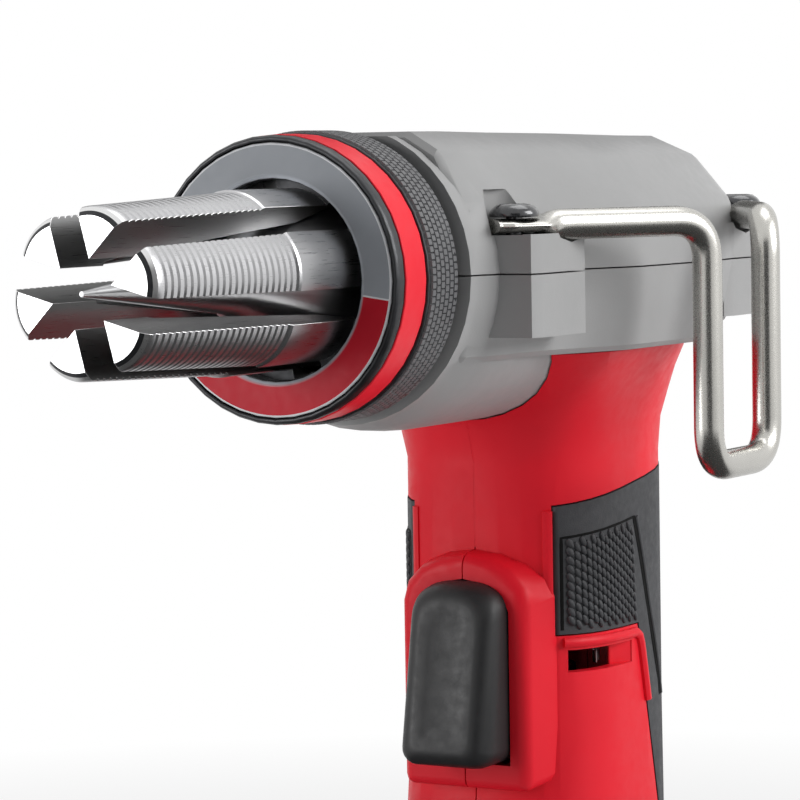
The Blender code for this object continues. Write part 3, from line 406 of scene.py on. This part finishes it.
LOOKS = {
    "grey": moulded("housing_grey", GREY, 0.46, 1.0, Specular_IOR_Level=0.3),
    "red": moulded("handle_red", RED, 0.42, 0.7, Specular_IOR_Level=0.2),
    "band": moulded("band_red", BRIGHT_RED, 0.36, 0.2, Specular_IOR_Level=0.25),
    "trigger": moulded("trigger_black", (0.022, 0.022, 0.023), 0.42, 0.4, Specular_IOR_Level=0.3),
    "case": moulded("battery_black", (0.03, 0.03, 0.032), 0.5, 1.0),
    "rubber": rubbery(),
    "jaw": machined("jaw_steel", (0.52, 0.52, 0.53), 0.3, (1, 0.03, 1)),
    # A darker copy of the jaw's steel: painted shade on the faces between the jaws and in the bore
    "jaw_shade": machined("jaw_painted_shade", (0.3, 0.3, 0.3), 0.3, (1, 0.02, 1)),
    # A lighter copy of the jaw's steel: painted highlight on the tip's end face and chamfer, and along the
    # bevelled edges
    "jaw_highlight": machined("jaw_painted_highlight", (0.74, 0.74, 0.74), 0.3, (1, 1, 0.05), 0.5),
    # Black lines at the tip's step, in each rib's groove and on the flange's front face
    "jaw_line": blackened("jaw_black_lines", 0.4, 0.0),
    "steel": machined("bare_steel", STEEL, 0.32),
    "nickel": machined("satin_nickel", NICKEL, 0.26, (1, 1, 1), 1.6),
    "bronze": machined("bush_bronze", (0.6, 0.38, 0.16), 0.35),
    "copper": machined("winding_copper", (0.62, 0.3, 0.14), 0.4),
    "black": blackened("collar_black", 0.42, 0.15),
    "knurl": moulded("knurl_grey", (0.13, 0.13, 0.135), 0.45, 0.5),
    "shadow": moulded("shadow_line_black", (0.006, 0.006, 0.006), 0.7, 0.3, Specular_IOR_Level=0.1),
    "screw": blackened("screw_black", 0.24, 0.9),
    "cell": moulded("cell_wrap", (0.03, 0.16, 0.1), 0.35, 0.2),
    "card": moulded("dark_card", (0.09, 0.09, 0.09), 0.9, 1.0, Specular_IOR_Level=0.0),
    "face": face_print(),
}

EDGES = {"red": 0.12 * MM, "grey": 0.2 * MM}
NODE_LOOKS = {
    "grey": ("housing_upper", "housing_lower"),
    "red": ("handle_left", "handle_right", "latch_left", "latch_right"),
    "band": ("colour_band",),
    "case": ("battery_cover", "battery_base", "switch_body", "contact_block"),
    "rubber": ("grip_left", "grip_right"),
    "steel": (
        "expansion_cone", "thrust_ring", "push_rod", "cam_roller", "roller_pin", "cam_disc", "cam_gear",
        "cam_shaft", "cam_bearing_upper", "cam_bearing_lower", "pinion", "gearbox_case", "motor_stator",
    ),
    "bronze": ("rod_bush",),
    "copper": ("motor_rotor",),
    "black": ("collar_nut", "nose_barrel"),
    "cell": ("battery_cell_1", "battery_cell_2", "battery_cell_3"),
    "face": ("face_plate",),
}


def dress(node, look, edge):
    """Gives a CAD node its material, rounded edges and smooth shading, with its mesh as it was."""
    mesh = node.data
    if "custom_normal" in mesh.attributes:
        mesh.attributes.remove(mesh.attributes["custom_normal"])
    mesh.shade_smooth()
    mesh.materials.clear()
    mesh.materials.append(look)
    weld = node.modifiers.new("weld", "WELD")
    weld.merge_threshold = 0.01 * MM
    bevel = node.modifiers.new("edges", "BEVEL")
    bevel.width = edge
    bevel.segments = 2
    bevel.limit_method = "ANGLE"
    bevel.angle_limit = math.radians(38)
    bevel.use_clamp_overlap = True
    normals = node.modifiers.new("normals", "WEIGHTED_NORMAL")
    normals.keep_sharp = True


# Mesh helpers


def piece(name, shape, looks, body, replaced=(), smooth=True, angle=35):
    """Turns a bmesh into a piece that rides on a CAD body."""
    bmesh.ops.remove_doubles(shape, verts=shape.verts, dist=0.002 * MM)
    bmesh.ops.recalc_face_normals(shape, faces=shape.faces)
    mesh = bpy.data.meshes.new(name)
    shape.to_mesh(mesh)
    shape.free()
    made = bpy.data.objects.new(name, mesh)
    bpy.context.scene.collection.objects.link(made)
    for look in looks:
        mesh.materials.append(LOOKS[look])
    if smooth:
        mesh.shade_smooth()
        mesh.set_sharp_from_angle(angle=math.radians(angle))
    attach(made, body)
    if replaced:
        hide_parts(*replaced)
    return made


def rings_to_faces(shape, rings):
    """Joins closed rings of points, each as long as the last, into strips of faces."""
    count = len(rings[0])
    for ring, following in zip(rings, rings[1:]):
        for index in range(count):
            other = (index + 1) % count
            shape.faces.new((ring[index], ring[other], following[other], following[index]))


# Expander jaws


def jaw_outline():
    """The jaw's outline as (radius, back, look), from the tip's centre round to the bore."""
    low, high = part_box("jaw_1")
    front = low.y - HEAD.y
    rear = high.y - HEAD.y
    flange_front = rear - JAW_FLANGE_DEPTH
    pitch = (JAW_RIBBED - RIB_START - RIB_END) / RIB_COUNT
    slope = (JAW_STEP_RADIUS - JAW_TIP_RADIUS) / JAW_RIBBED
    outline = [
        (0, front, HIGHLIGHT),
        (JAW_TIP_RADIUS - 1.5 * MM, front, LINE),
        (JAW_TIP_RADIUS - 0.75 * MM, front + 0.55 * MM, HIGHLIGHT),
        (JAW_TIP_RADIUS - 0.1 * MM, front + 1.15 * MM, RIBBED),
    ]
    for rib in range(RIB_COUNT):
        start = RIB_START + pitch * rib
        radius = JAW_TIP_RADIUS + slope * start
        for share, height, jaw_kind in RIB_SHAPE:
            outline.append((radius + height * MM, front + start + share * pitch, jaw_kind))
    outline += [
        (JAW_NECK_RADIUS - 0.25 * MM, front + JAW_RIBBED - 0.5 * MM, RIBBED),
        (JAW_NECK_RADIUS, front + JAW_RIBBED, RIBBED),
        (JAW_NECK_RADIUS, flange_front, LINE),
        (JAW_FLANGE_RADIUS, flange_front, LINE),
        (JAW_FLANGE_RADIUS, rear, RIBBED),
        (11.8 * MM, rear, RIBBED),
        # The bore's deeper faces take the darker copy: painted shade
        (6.6 * MM, front + STROKE + 45 * MM, SHADED),
        (0.8 * MM, front + STROKE - 0.3 * MM, SHADED),
        (0, front + STROKE - 1.2 * MM, SHADED),
    ]
    return outline


def make_jaws():
    """Turns the outline through a sixth of a circle for each jaw, about an axis moved out with it."""
    outline = jaw_outline()
    for index in range(JAW_COUNT):
        angle = JAW_FIRST_ANGLE + 2 * math.pi * index / JAW_COUNT
        centre = world(JAW_OFFSET * math.cos(angle), 0, JAW_OFFSET * math.sin(angle))
        shape = bmesh.new()
        columns = []
        for step in range(JAW_COLUMNS + 1):
            turn = angle + (2 * step / JAW_COLUMNS - 1) * math.pi / JAW_COUNT
            out = Vector((math.cos(turn), 0, math.sin(turn)))
            column = []
            for radius, back, _ in outline:
                column.append(shape.verts.new(centre + out * radius + Vector((0, back, 0))))
            columns.append(column)
        for column, following in zip(columns, columns[1:]):
            for point in range(len(outline)):
                other = (point + 1) % len(outline)
                if outline[point][0] == 0 and outline[other][0] == 0:
                    continue
                corners = [column[point], column[other], following[other], following[point]]
                face = shape.faces.new(corners)
                face.material_index = outline[point][2]
        # The faces between the jaws take the darker copy: painted shade
        for column in (columns[0], columns[-1]):
            shape.faces.new(column).material_index = SHADED
        name = f"jaw_{index + 1}"
        made = piece(f"jaw_look_{index + 1}", shape, JAW_LOOKS, f"{name}_body", (name,), angle=24)
        bevel = made.modifiers.new("edges", "BEVEL")
        bevel.width = JAW_EDGE
        bevel.segments = 2
        bevel.limit_method = "ANGLE"
        bevel.angle_limit = math.radians(55)
        # The bevels take the lighter copy: a painted highlight along the jaw's edges
        bevel.material = HIGHLIGHT


# Knurled rear of the collar


def make_knurl():
    """Rows of small raised pads, each row shifted by half a pad."""
    low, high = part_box("collar_nut")
    base = (high.x - low.x) / 2 - KNURL_SINK
    half = math.pi / KNURL_COLUMNS
    shape = bmesh.new()
    for row in range(KNURL_ROWS):
        for column in range(KNURL_COLUMNS):
            middle = 2 * math.pi * (column + 0.5 * (row % 2)) / KNURL_COLUMNS
            rings = []
            for share, height in PAD_RINGS:
                radius = base + height
                corners = []
                for across, along in ((-1, 0), (1, 0), (1, 1), (-1, 1)):
                    turn = middle + across * half * share
                    back = KNURL_FRONT + KNURL_ROW_DEPTH * (row + 0.5 + (along - 0.5) * share)
                    corner = world(radius * math.cos(turn), back, radius * math.sin(turn))
                    corners.append(shape.verts.new(corner))
                rings.append(corners)
            rings_to_faces(shape, rings)
            shape.faces.new(rings[-1])
    piece("collar_knurl", shape, ("knurl",), "collar", smooth=False)


# Carry hook


def hook_path():
    """Points along the wire, close enough together for its bends to look round."""
    front, rear = SCREW_BACKS
    first, second = HOOK_LEGS
    corners = [
        Vector((SCREW_SIDE, front, WIRE_UP)),
        Vector((HOOK_SIDE, first, WIRE_UP)),
        Vector((HOOK_SIDE, first, HOOK_BOTTOM)),
        Vector((HOOK_SIDE, second, HOOK_BOTTOM)),
        Vector((HOOK_SIDE, second, WIRE_UP)),
        Vector((SCREW_SIDE, rear, WIRE_UP)),
    ]
    ends = []
    for here, there in ((0, 1), (-1, -2)):
        away = (corners[here] - corners[there]).normalized()
        ends.append([corners[here] - away * step * MM for step in HOOK_END_STEPS])
    points = list(ends[0])
    for before, corner, after in zip(corners, corners[1:], corners[2:]):
        start = corner + (before - corner).normalized() * HOOK_BEND
        end = corner + (after - corner).normalized() * HOOK_BEND
        for step in range(HOOK_BEND_STEPS + 1):
            share = step / HOOK_BEND_STEPS
            points.append(start * (1 - share) ** 2 + corner * 2 * share * (1 - share) + end * share**2)
    points += reversed(ends[1])
    return points


def hook_section(travel):
    """The wire's half width, half height and drop at a distance from its end.

    It is hammered flat at the end and round farther on.
    """
    flat_width = EYE_TIP_HALF_WIDTH if travel < EYE_TIP_LENGTH else EYE_HALF_WIDTH
    ease = min(max((travel - EYE_LENGTH) / EYE_TAPER, 0), 1)
    ease = ease * ease * (3 - 2 * ease)
    half_width = flat_width + (WIRE_RADIUS - flat_width) * ease
    half_height = EYE_HALF_HEIGHT + (WIRE_RADIUS - EYE_HALF_HEIGHT) * ease
    return half_width, half_height, (WIRE_UP - EYE_UP) * (1 - ease)


def make_hook():
    """Draws the wire's changing section along its path."""
    points = hook_path()
    travels = [0.0]
    for before, after in zip(points, points[1:]):
        travels.append(travels[-1] + (after - before).length)
    shape = bmesh.new()
    rings = []
    over = Vector((0, 0, 1))
    for index, point in enumerate(points):
        ahead = (points[min(index + 1, len(points) - 1)] - points[max(index - 1, 0)]).normalized()
        over = (over - ahead * over.dot(ahead)).normalized()
        across = ahead.cross(over)
        travel = min(travels[index], travels[-1] - travels[index])
        half_width, half_height, drop = hook_section(travel)
        centre = world(*(point - Vector((0, 0, drop))))
        ring = []
        for side in range(HOOK_SIDES):
            turn = 2 * math.pi * side / HOOK_SIDES
            offset = across * half_width * math.cos(turn) + over * half_height * math.sin(turn)
            ring.append(shape.verts.new(centre + offset))
        rings.append(ring)
    rings_to_faces(shape, rings)
    shape.faces.new(rings[0])
    shape.faces.new(rings[-1])
    piece("hook_look", shape, ("nickel",), "tool_body", ("carry_hook",))


def turned(shape, profile, place, facing, sides=48):
    """Turns a profile of (radius, height, lobe) in millimetres about the way it faces."""
    over = Vector((0, 0, 1)) if abs(facing.z) < 0.5 else Vector((0, 1, 0))
    across = over.cross(facing)
    rings = []
    for radius, height, lobe in profile:
        ring = []
        for side in range(sides):
            turn = 2 * math.pi * side / sides
            reach = radius + lobe * math.cos(6 * turn)
            way = across * math.cos(turn) + over * math.sin(turn)
            ring.append(shape.verts.new(place + (facing * height + way * reach) * MM))
        rings.append(ring)
    rings_to_faces(shape, rings)
    shape.faces.new(rings[0])
    shape.faces.new(rings[-1])


def screw_head(radius, rise, drop):
    """A domed head with a six-lobed recess, as a profile in millimetres."""
    edge = 0.35
    lobe = 0.3
    dome = [(radius - 0.1, 0, 0), (radius, edge, 0)]
    for step in range(1, 6):
        turn = math.radians(10 * step)
        dome.append((radius * math.cos(turn), edge + rise * math.sin(turn), 0))
    top = edge + rise * math.sin(math.radians(50))
    rim = radius * 0.46
    recess = [
        (rim, top + 0.1, lobe),
        (rim - 0.15, top - 0.1, lobe),
        (rim - 0.25, drop, lobe),
        (0.3, drop - 0.1, 0),
    ]
    return dome + recess


def make_screws():
    """The hook's two screws, and the screws with their bosses on the right side."""
    for name, back in zip(("front", "rear"), SCREW_BACKS):
        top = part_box(f"hook_screw_{name}")[1].z - HEAD.z
        place = world(SCREW_SIDE, back, top - HOOK_SCREW_HEIGHT)
        shape = bmesh.new()
        turned(shape, [*HOOK_SCREW_SHANK, *screw_head(4.8, 2.65, 1.2)], place, Vector((0, 0, 1)))
        piece(f"screw_look_{name}", shape, ("screw",), "tool_body", (f"hook_screw_{name}",), angle=40)
    facing = Vector((-1, 0, 0))
    for index, (side, back, up) in enumerate(RIGHT_SCREWS):
        shape = bmesh.new()
        turned(shape, BOSS_PROFILE, world(-side, back, up), facing)
        piece(f"screw_boss_{index + 1}", shape, (BOSS_LOOKS[index],), "tool_body")
        shape = bmesh.new()
        turned(shape, screw_head(2.3, 0.7, -0.1), world(-side - 0.1 * MM, back, up), facing)
        piece(f"screw_right_{index + 1}", shape, ("screw",), "tool_body", angle=40)


# Handle


def on_handle(back, up, out, sign):
    """A point this far out from the handle's rounded section, on its straight upper part."""
    share = min(max((back - HANDLE_BACK) / HANDLE_DEPTH, -0.999), 0.999)
    side = HANDLE_SIDE * (1 - abs(share) ** 3) ** (1 / 3)
    normal = Vector((side**2 / HANDLE_SIDE**3, share * abs(share) / HANDLE_DEPTH)).normalized()
    return world(sign * (side + normal.x * out), back + normal.y * out, up)


def dense(path):
    """The same path with points in between, so that it follows the handle's curve."""
    points = []
    for start, end in zip(path, path[1:]):
        start, end = Vector(start), Vector(end)
        count = max(int((end - start).length / RIBBON_STEP), 1)
        points += [start.lerp(end, share / count) for share in range(count)]
    return [*points, Vector(path[-1])]


def ribbon(name, path, width, height, look, sign):
    """A rounded bead over the handle along a path of (back, up) places."""
    half = width / 2
    foot = -0.4 * MM
    section = [
        (-half, foot),
        (-half, height * 0.4),
        (-half * 0.5, height * 0.9),
        (0, height),
        (half * 0.5, height * 0.9),
        (half, height * 0.4),
        (half, foot),
    ]
    points = dense(path)
    shape = bmesh.new()
    rings = []
    for index, here in enumerate(points):
        way = (points[min(index + 1, len(points) - 1)] - points[max(index - 1, 0)]).normalized()
        ring = []
        for across, out in section:
            place = on_handle(here.x - way.y * across, here.y + way.x * across, out, sign)
            ring.append(shape.verts.new(place))
        rings.append(ring)
    rings_to_faces(shape, rings)
    shape.faces.new(rings[0])
    shape.faces.new(rings[-1])
    piece(name, shape, (look,), "tool_body")


def make_grip_texture(name, sign):
    """Slanted scales in columns, every other column half a scale lower."""
    shape = bmesh.new()
    top, bottom = ([Vector(corner) for corner in edge] for edge in (PANEL_TOP, PANEL_BOTTOM))
    for column in range(PANEL_COLUMNS):
        for row in range(PANEL_ROWS):
            share = (column + 0.5) / PANEL_COLUMNS
            depth = (row + 0.3 + 0.5 * (column % 2)) / (PANEL_ROWS + 0.1)
            centre = top[0].lerp(top[1], share).lerp(bottom[0].lerp(bottom[1], share), depth)
            rings = []
            for size, out in SCALE_RINGS:
                ring = []
                for corner in range(8):
                    turn = math.pi * corner / 4
                    across = SCALE_WIDTH * size * math.cos(turn)
                    along = SCALE_HEIGHT * size * math.sin(turn)
                    place = on_handle(centre.x + across - SCALE_SLANT * along, centre.y + along, out, sign)
                    ring.append(shape.verts.new(place))
                rings.append(ring)
            rings_to_faces(shape, rings)
            shape.faces.new(rings[-1])
            shape.faces.new(rings[0])
    piece(f"grip_scales_{name}", shape, ("rubber",), "tool_body", angle=50)


def wedge(name, corners, levels, look):
    """An upright prism over (x, back) corners, between two levels."""
    shape = bmesh.new()
    rings = [[shape.verts.new(world(x, back, up)) for x, back in corners] for up in levels]
    rings_to_faces(shape, rings)
    shape.faces.new(rings[0])
    shape.faces.new(rings[1])
    made = piece(name, shape, (look,), "tool_body", smooth=False)
    bevel = made.modifiers.new("edges", "BEVEL")
    bevel.width = 0.2 * MM
    bevel.segments = 2


def make_handle_details():
    """The grip's texture and beads with painted shade in its grooves, and the vent with what shows in it
    and its sheets of painted shade, on both sides.
    """
    front, rear = SLOT_BACKS
    low, high = SLOT_LEVELS
    inner, outer = SHADE_SIDES
    for name, sign in (("left", 1), ("right", -1)):
        make_grip_texture(name, sign)
        # Thin strips in the shadow look: painted shade in the grip's grooves
        ribbon(f"grip_groove_shade_{name}", GROOVE_PATH[:3], 0.5 * MM, 0.05 * MM, "shadow", sign)
        ribbon(f"grip_edge_shade_{name}", GROOVE_PATH[2:], 1.1 * MM, 0.05 * MM, "shadow", sign)
        beside = [(back + 1.1 * MM, up) for back, up in GROOVE_PATH[2:]]
        ribbon(f"grip_bead_{name}", beside, 0.9 * MM, 0.35 * MM, "rubber", sign)
        ribbon(f"vent_lip_{name}", LIP_PATH, 1.9 * MM, 0.9 * MM, "red", sign)
        ribbon(f"side_seam_{name}", SEAM_PATH, 1.1 * MM, 0.35 * MM, "red", sign)
        ramp = [(sign * x * MM, rear + back * MM) for x, back in VENT_RAMP]
        wedge(f"vent_ramp_{name}", ramp, (low - 0.3 * MM, high + 0.3 * MM), "red")
        tab = [(sign * x * MM, back * MM) for x, back in BRUSH_TAB]
        wedge(f"brush_tab_{name}", tab, (low + 0.6 * MM, low + 3.4 * MM), "steel")
        # Dark sheets in the shadow look close the view through the vent: painted shade
        near = front - 0.6 * MM
        far = front + 4.5 * MM
        shade_outline = [(sign * inner, near), (sign * outer, near), (sign * outer, far), (sign * inner, far)]
        wedge(f"vent_shade_{name}", shade_outline, (low - 5 * MM, high + 4 * MM), "shadow")


def seam_strip(name, profile, inward):
    """A thin red strip that lies a little under the surface in the gap between the handle's halves."""
    shape = bmesh.new()
    rings = []
    for back, up in profile:
        ring = []
        for x, deep in SEAM_SECTION:
            ring.append(shape.verts.new(world(x * MM, back * MM + inward * deep * MM, up * MM)))
        rings.append(ring)
    rings_to_faces(shape, rings)
    shape.faces.new(rings[0])
    shape.faces.new(rings[-1])
    piece(name, shape, ("red",), "tool_body", smooth=False)


def make_seams():
    seam_strip("seam_front", SEAM_FRONT, 1)
    seam_strip("seam_hood", SEAM_HOOD, 1)
    seam_strip("seam_rear", SEAM_REAR, -1)


# Trigger


def trigger_ring(shape, inset, depth):
    """The trigger's outline, drawn in by the inset and set back from its leaning face."""
    side = TRIGGER_SIDE - inset
    top = TRIGGER_TOP - inset
    bottom = TRIGGER_BOTTOM + inset
    corner = max(TRIGGER_CORNER - inset * 0.4, 0.6 * MM)
    outline = []
    for step in range(25):
        turn = math.pi * step / 24
        across = math.copysign(abs(math.cos(turn)) ** TRIGGER_SQUARENESS, math.cos(turn))
        over = math.copysign(abs(math.sin(turn)) ** TRIGGER_SQUARENESS, math.sin(turn))
        outline.append((side * across, top - TRIGGER_ARCH + TRIGGER_ARCH * over))
    for start, x in ((math.pi, -side + corner), (1.5 * math.pi, side - corner)):
        for step in range(6):
            turn = start + math.pi / 2 * step / 5
            outline.append((x + corner * math.cos(turn), bottom + corner + corner * math.sin(turn)))
    ring = []
    for x, up in outline:
        back = TRIGGER_REAR
        if depth is not None:
            back = TRIGGER_FRONT + (up - TRIGGER_TOP) * TRIGGER_LEAN + depth
        ring.append(shape.verts.new(world(x, back, up)))
    return ring


def make_trigger():
    """A crowned pad with a shallow dish, and the stem that reaches into the handle."""
    shape = bmesh.new()
    rings = [trigger_ring(shape, inset, depth) for inset, depth in TRIGGER_CROWN]
    rings_to_faces(shape, rings)
    shape.faces.new(rings[0])
    shape.faces.new(rings[-1])
    stem = Matrix.Translation(world(0, 80.5 * MM, -94 * MM)) @ Matrix.Diagonal((*TRIGGER_STEM, 1))
    bmesh.ops.create_cube(shape, size=1, matrix=stem)
    piece("trigger_look", shape, ("trigger",), "trigger", ("trigger",), angle=50)


# Battery


def make_latch_ribs():
    """Finger ribs along each latch button."""
    for name, sign in (("left", 1), ("right", -1)):
        low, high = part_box(f"latch_{name}")
        side = high.x if sign == 1 else low.x
        middle = (low + high) / 2
        shape = bmesh.new()
        half = (high.y - low.y) / MM / 2 - LATCH_RIB_INSET
        bead = [(0.2, -half - 0.4, 0), (0.4, -half, 0), (0.4, half, 0), (0.2, half + 0.4, 0)]
        for row in (-1, 0, 1):
            place = Vector((side - sign * 0.2 * MM, middle.y, middle.z + row * LATCH_RIB_PITCH))
            turned(shape, bead, place, Vector((0, 1, 0)), 12)
        piece(f"latch_ribs_{name}", shape, ("red",), f"latch_button_{name}")


# Stage


def make_camera():
    """The photo's camera, turned, raised and rolled about the collar's face."""
    back = Vector((math.sin(CAMERA_TURN) * math.cos(CAMERA_RISE),
                   -math.cos(CAMERA_TURN) * math.cos(CAMERA_RISE), math.sin(CAMERA_RISE)))
    level = Vector((math.cos(CAMERA_TURN), math.sin(CAMERA_TURN), 0))
    upward = back.cross(level)
    right = level * math.cos(CAMERA_ROLL) + upward * math.sin(CAMERA_ROLL)
    up = upward * math.cos(CAMERA_ROLL) - level * math.sin(CAMERA_ROLL)
    data = bpy.data.cameras.new("camera")
    data.lens = CAMERA_LENS
    camera = bpy.data.objects.new("camera", data)
    place = HEAD + right * CAMERA_RIGHT - up * CAMERA_DOWN + back * CAMERA_DISTANCE
    camera.matrix_world = Matrix.Translation(place) @ Matrix((right, up, back)).transposed().to_4x4()
    bpy.context.scene.collection.objects.link(camera)
    bpy.context.scene.camera = camera


def lamp(name, place, aim, size, power):
    """A soft rectangular lamp that faces its aim, with its power in watts."""
    data = bpy.data.lights.new(name, "AREA")
    data.shape = "RECTANGLE"
    data.size, data.size_y = size
    data.energy = power
    made = bpy.data.objects.new(name, data)
    made.location = place
    made.rotation_mode = "QUATERNION"
    made.rotation_quaternion = (Vector(aim) - Vector(place)).to_track_quat("-Z", "Y")
    bpy.context.scene.collection.objects.link(made)


def make_lights():
    aim = HEAD + Vector((0, 0.05, -0.03))
    lamp("key", (1.2, 0.3, 0.75), aim, (0.8, 0.8), 15)
    lamp("front", (-0.9, -1.1, 0.3), aim, (0.45, 0.8), 8)
    lamp("top", (0.1, 0.35, 1.4), aim, (0.8, 0.8), 5)


def sheet(name, size, cells, material):
    """A flat square of the stage, lying at the origin."""
    shape = bmesh.new()
    bmesh.ops.create_grid(shape, x_segments=cells, y_segments=cells, size=size)
    mesh = bpy.data.meshes.new(name)
    shape.to_mesh(mesh)
    shape.free()
    mesh.materials.append(material)
    made = bpy.data.objects.new(name, mesh)
    bpy.context.scene.collection.objects.link(made)
    return made


def dark_card(name, size, place, aim):
    """A dark card that only shiny surfaces see: it gives the metal its darker stripes."""
    made = sheet(name, size, 1, LOOKS["card"])
    made.location = place
    made.rotation_mode = "QUATERNION"
    made.rotation_quaternion = (Vector(aim) - Vector(place)).to_track_quat("Z", "Y")
    for ray in ("camera", "diffuse", "shadow", "transmission"):
        setattr(made, f"visible_{ray}", False)


def make_cards():
    dark_card("card_behind_camera", 0.42, (0.62, -0.95, 0.3), HEAD)
    dark_card("card_below", 0.45, (0.35, -0.3, 0.02), (0.35, -0.3, 1))
    dark_card("card_far_side", 0.3, (-0.6, 0.95, 0.55), HEAD)


def make_world():
    """Plain light on the object; white wherever the camera or a shiny surface looks past it."""
    made = bpy.data.worlds.new("studio")
    made.use_nodes = True
    bpy.context.scene.world = made
    tree = made.node_tree
    light = tree.nodes["Background"]
    light.inputs["Color"].default_value = (0.9, 0.92, 0.95, 1)
    light.inputs["Strength"].default_value = 0.14
    seen = tree.nodes.new("ShaderNodeBackground")
    seen.inputs["Color"].default_value = (1, 1, 1, 1)
    seen.inputs["Strength"].default_value = 1.0
    mix_by_ray(tree, light.outputs[0], seen.outputs[0], tree.nodes["World Output"].inputs["Surface"])


def mix_by_ray(tree, usual, seen, target):
    """Shows one shader to camera, glossy and transmission rays, and the other to the rest."""
    path = tree.nodes.new("ShaderNodeLightPath")
    total = path.outputs["Is Camera Ray"]
    for name in ("Is Glossy Ray", "Is Transmission Ray"):
        added = tree.nodes.new("ShaderNodeMath")
        added.operation = "MAXIMUM"
        tree.links.new(total, added.inputs[0])
        tree.links.new(path.outputs[name], added.inputs[1])
        total = added.outputs[0]
    mix = tree.nodes.new("ShaderNodeMixShader")
    tree.links.new(total, mix.inputs["Fac"])
    tree.links.new(usual, mix.inputs[1])
    tree.links.new(seen, mix.inputs[2])
    tree.links.new(mix.outputs[0], target)


def make_floor():
    """A pale floor that keeps the tool's shadow near it and fades to white farther out."""
    look = Look("floor_paper", (0.8, 0.8, 0.8), 0.9)
    look.rough(look.span(look.grain(20), 0.85, 0.95))
    glow = look.node("ShaderNodeEmission")
    glow.inputs["Color"].default_value = (1, 1, 1, 1)
    glow.inputs["Strength"].default_value = 1.0
    distance = look.node("ShaderNodeVectorMath", operation="LENGTH")
    look.link(look.place, distance.inputs[0])
    fade = look.node("ShaderNodeMixShader")
    look.link(look.span(distance.outputs["Value"], 0.35, 1, 0.15, 0.5), fade.inputs["Fac"])
    look.link(look.shader.outputs[0], fade.inputs[1])
    look.link(glow.outputs[0], fade.inputs[2])
    target = look.tree.nodes["Material Output"].inputs["Surface"]
    mix_by_ray(look.tree, look.shader.outputs[0], fade.outputs[0], target)
    sheet("floor", 6, 2, look.made)


for look_name, names in NODE_LOOKS.items():
    for node_name in names:
        dress(frame["nodes"][node_name], LOOKS[look_name], EDGES.get(look_name, 0.25 * MM))

make_jaws()
make_knurl()
make_hook()
make_screws()
make_handle_details()
make_seams()
make_trigger()
make_latch_ribs()
make_camera()
make_lights()
make_cards()
make_world()
make_floor()

bpy.context.scene.view_settings.view_transform = "Standard"
bpy.context.view_layer.update()
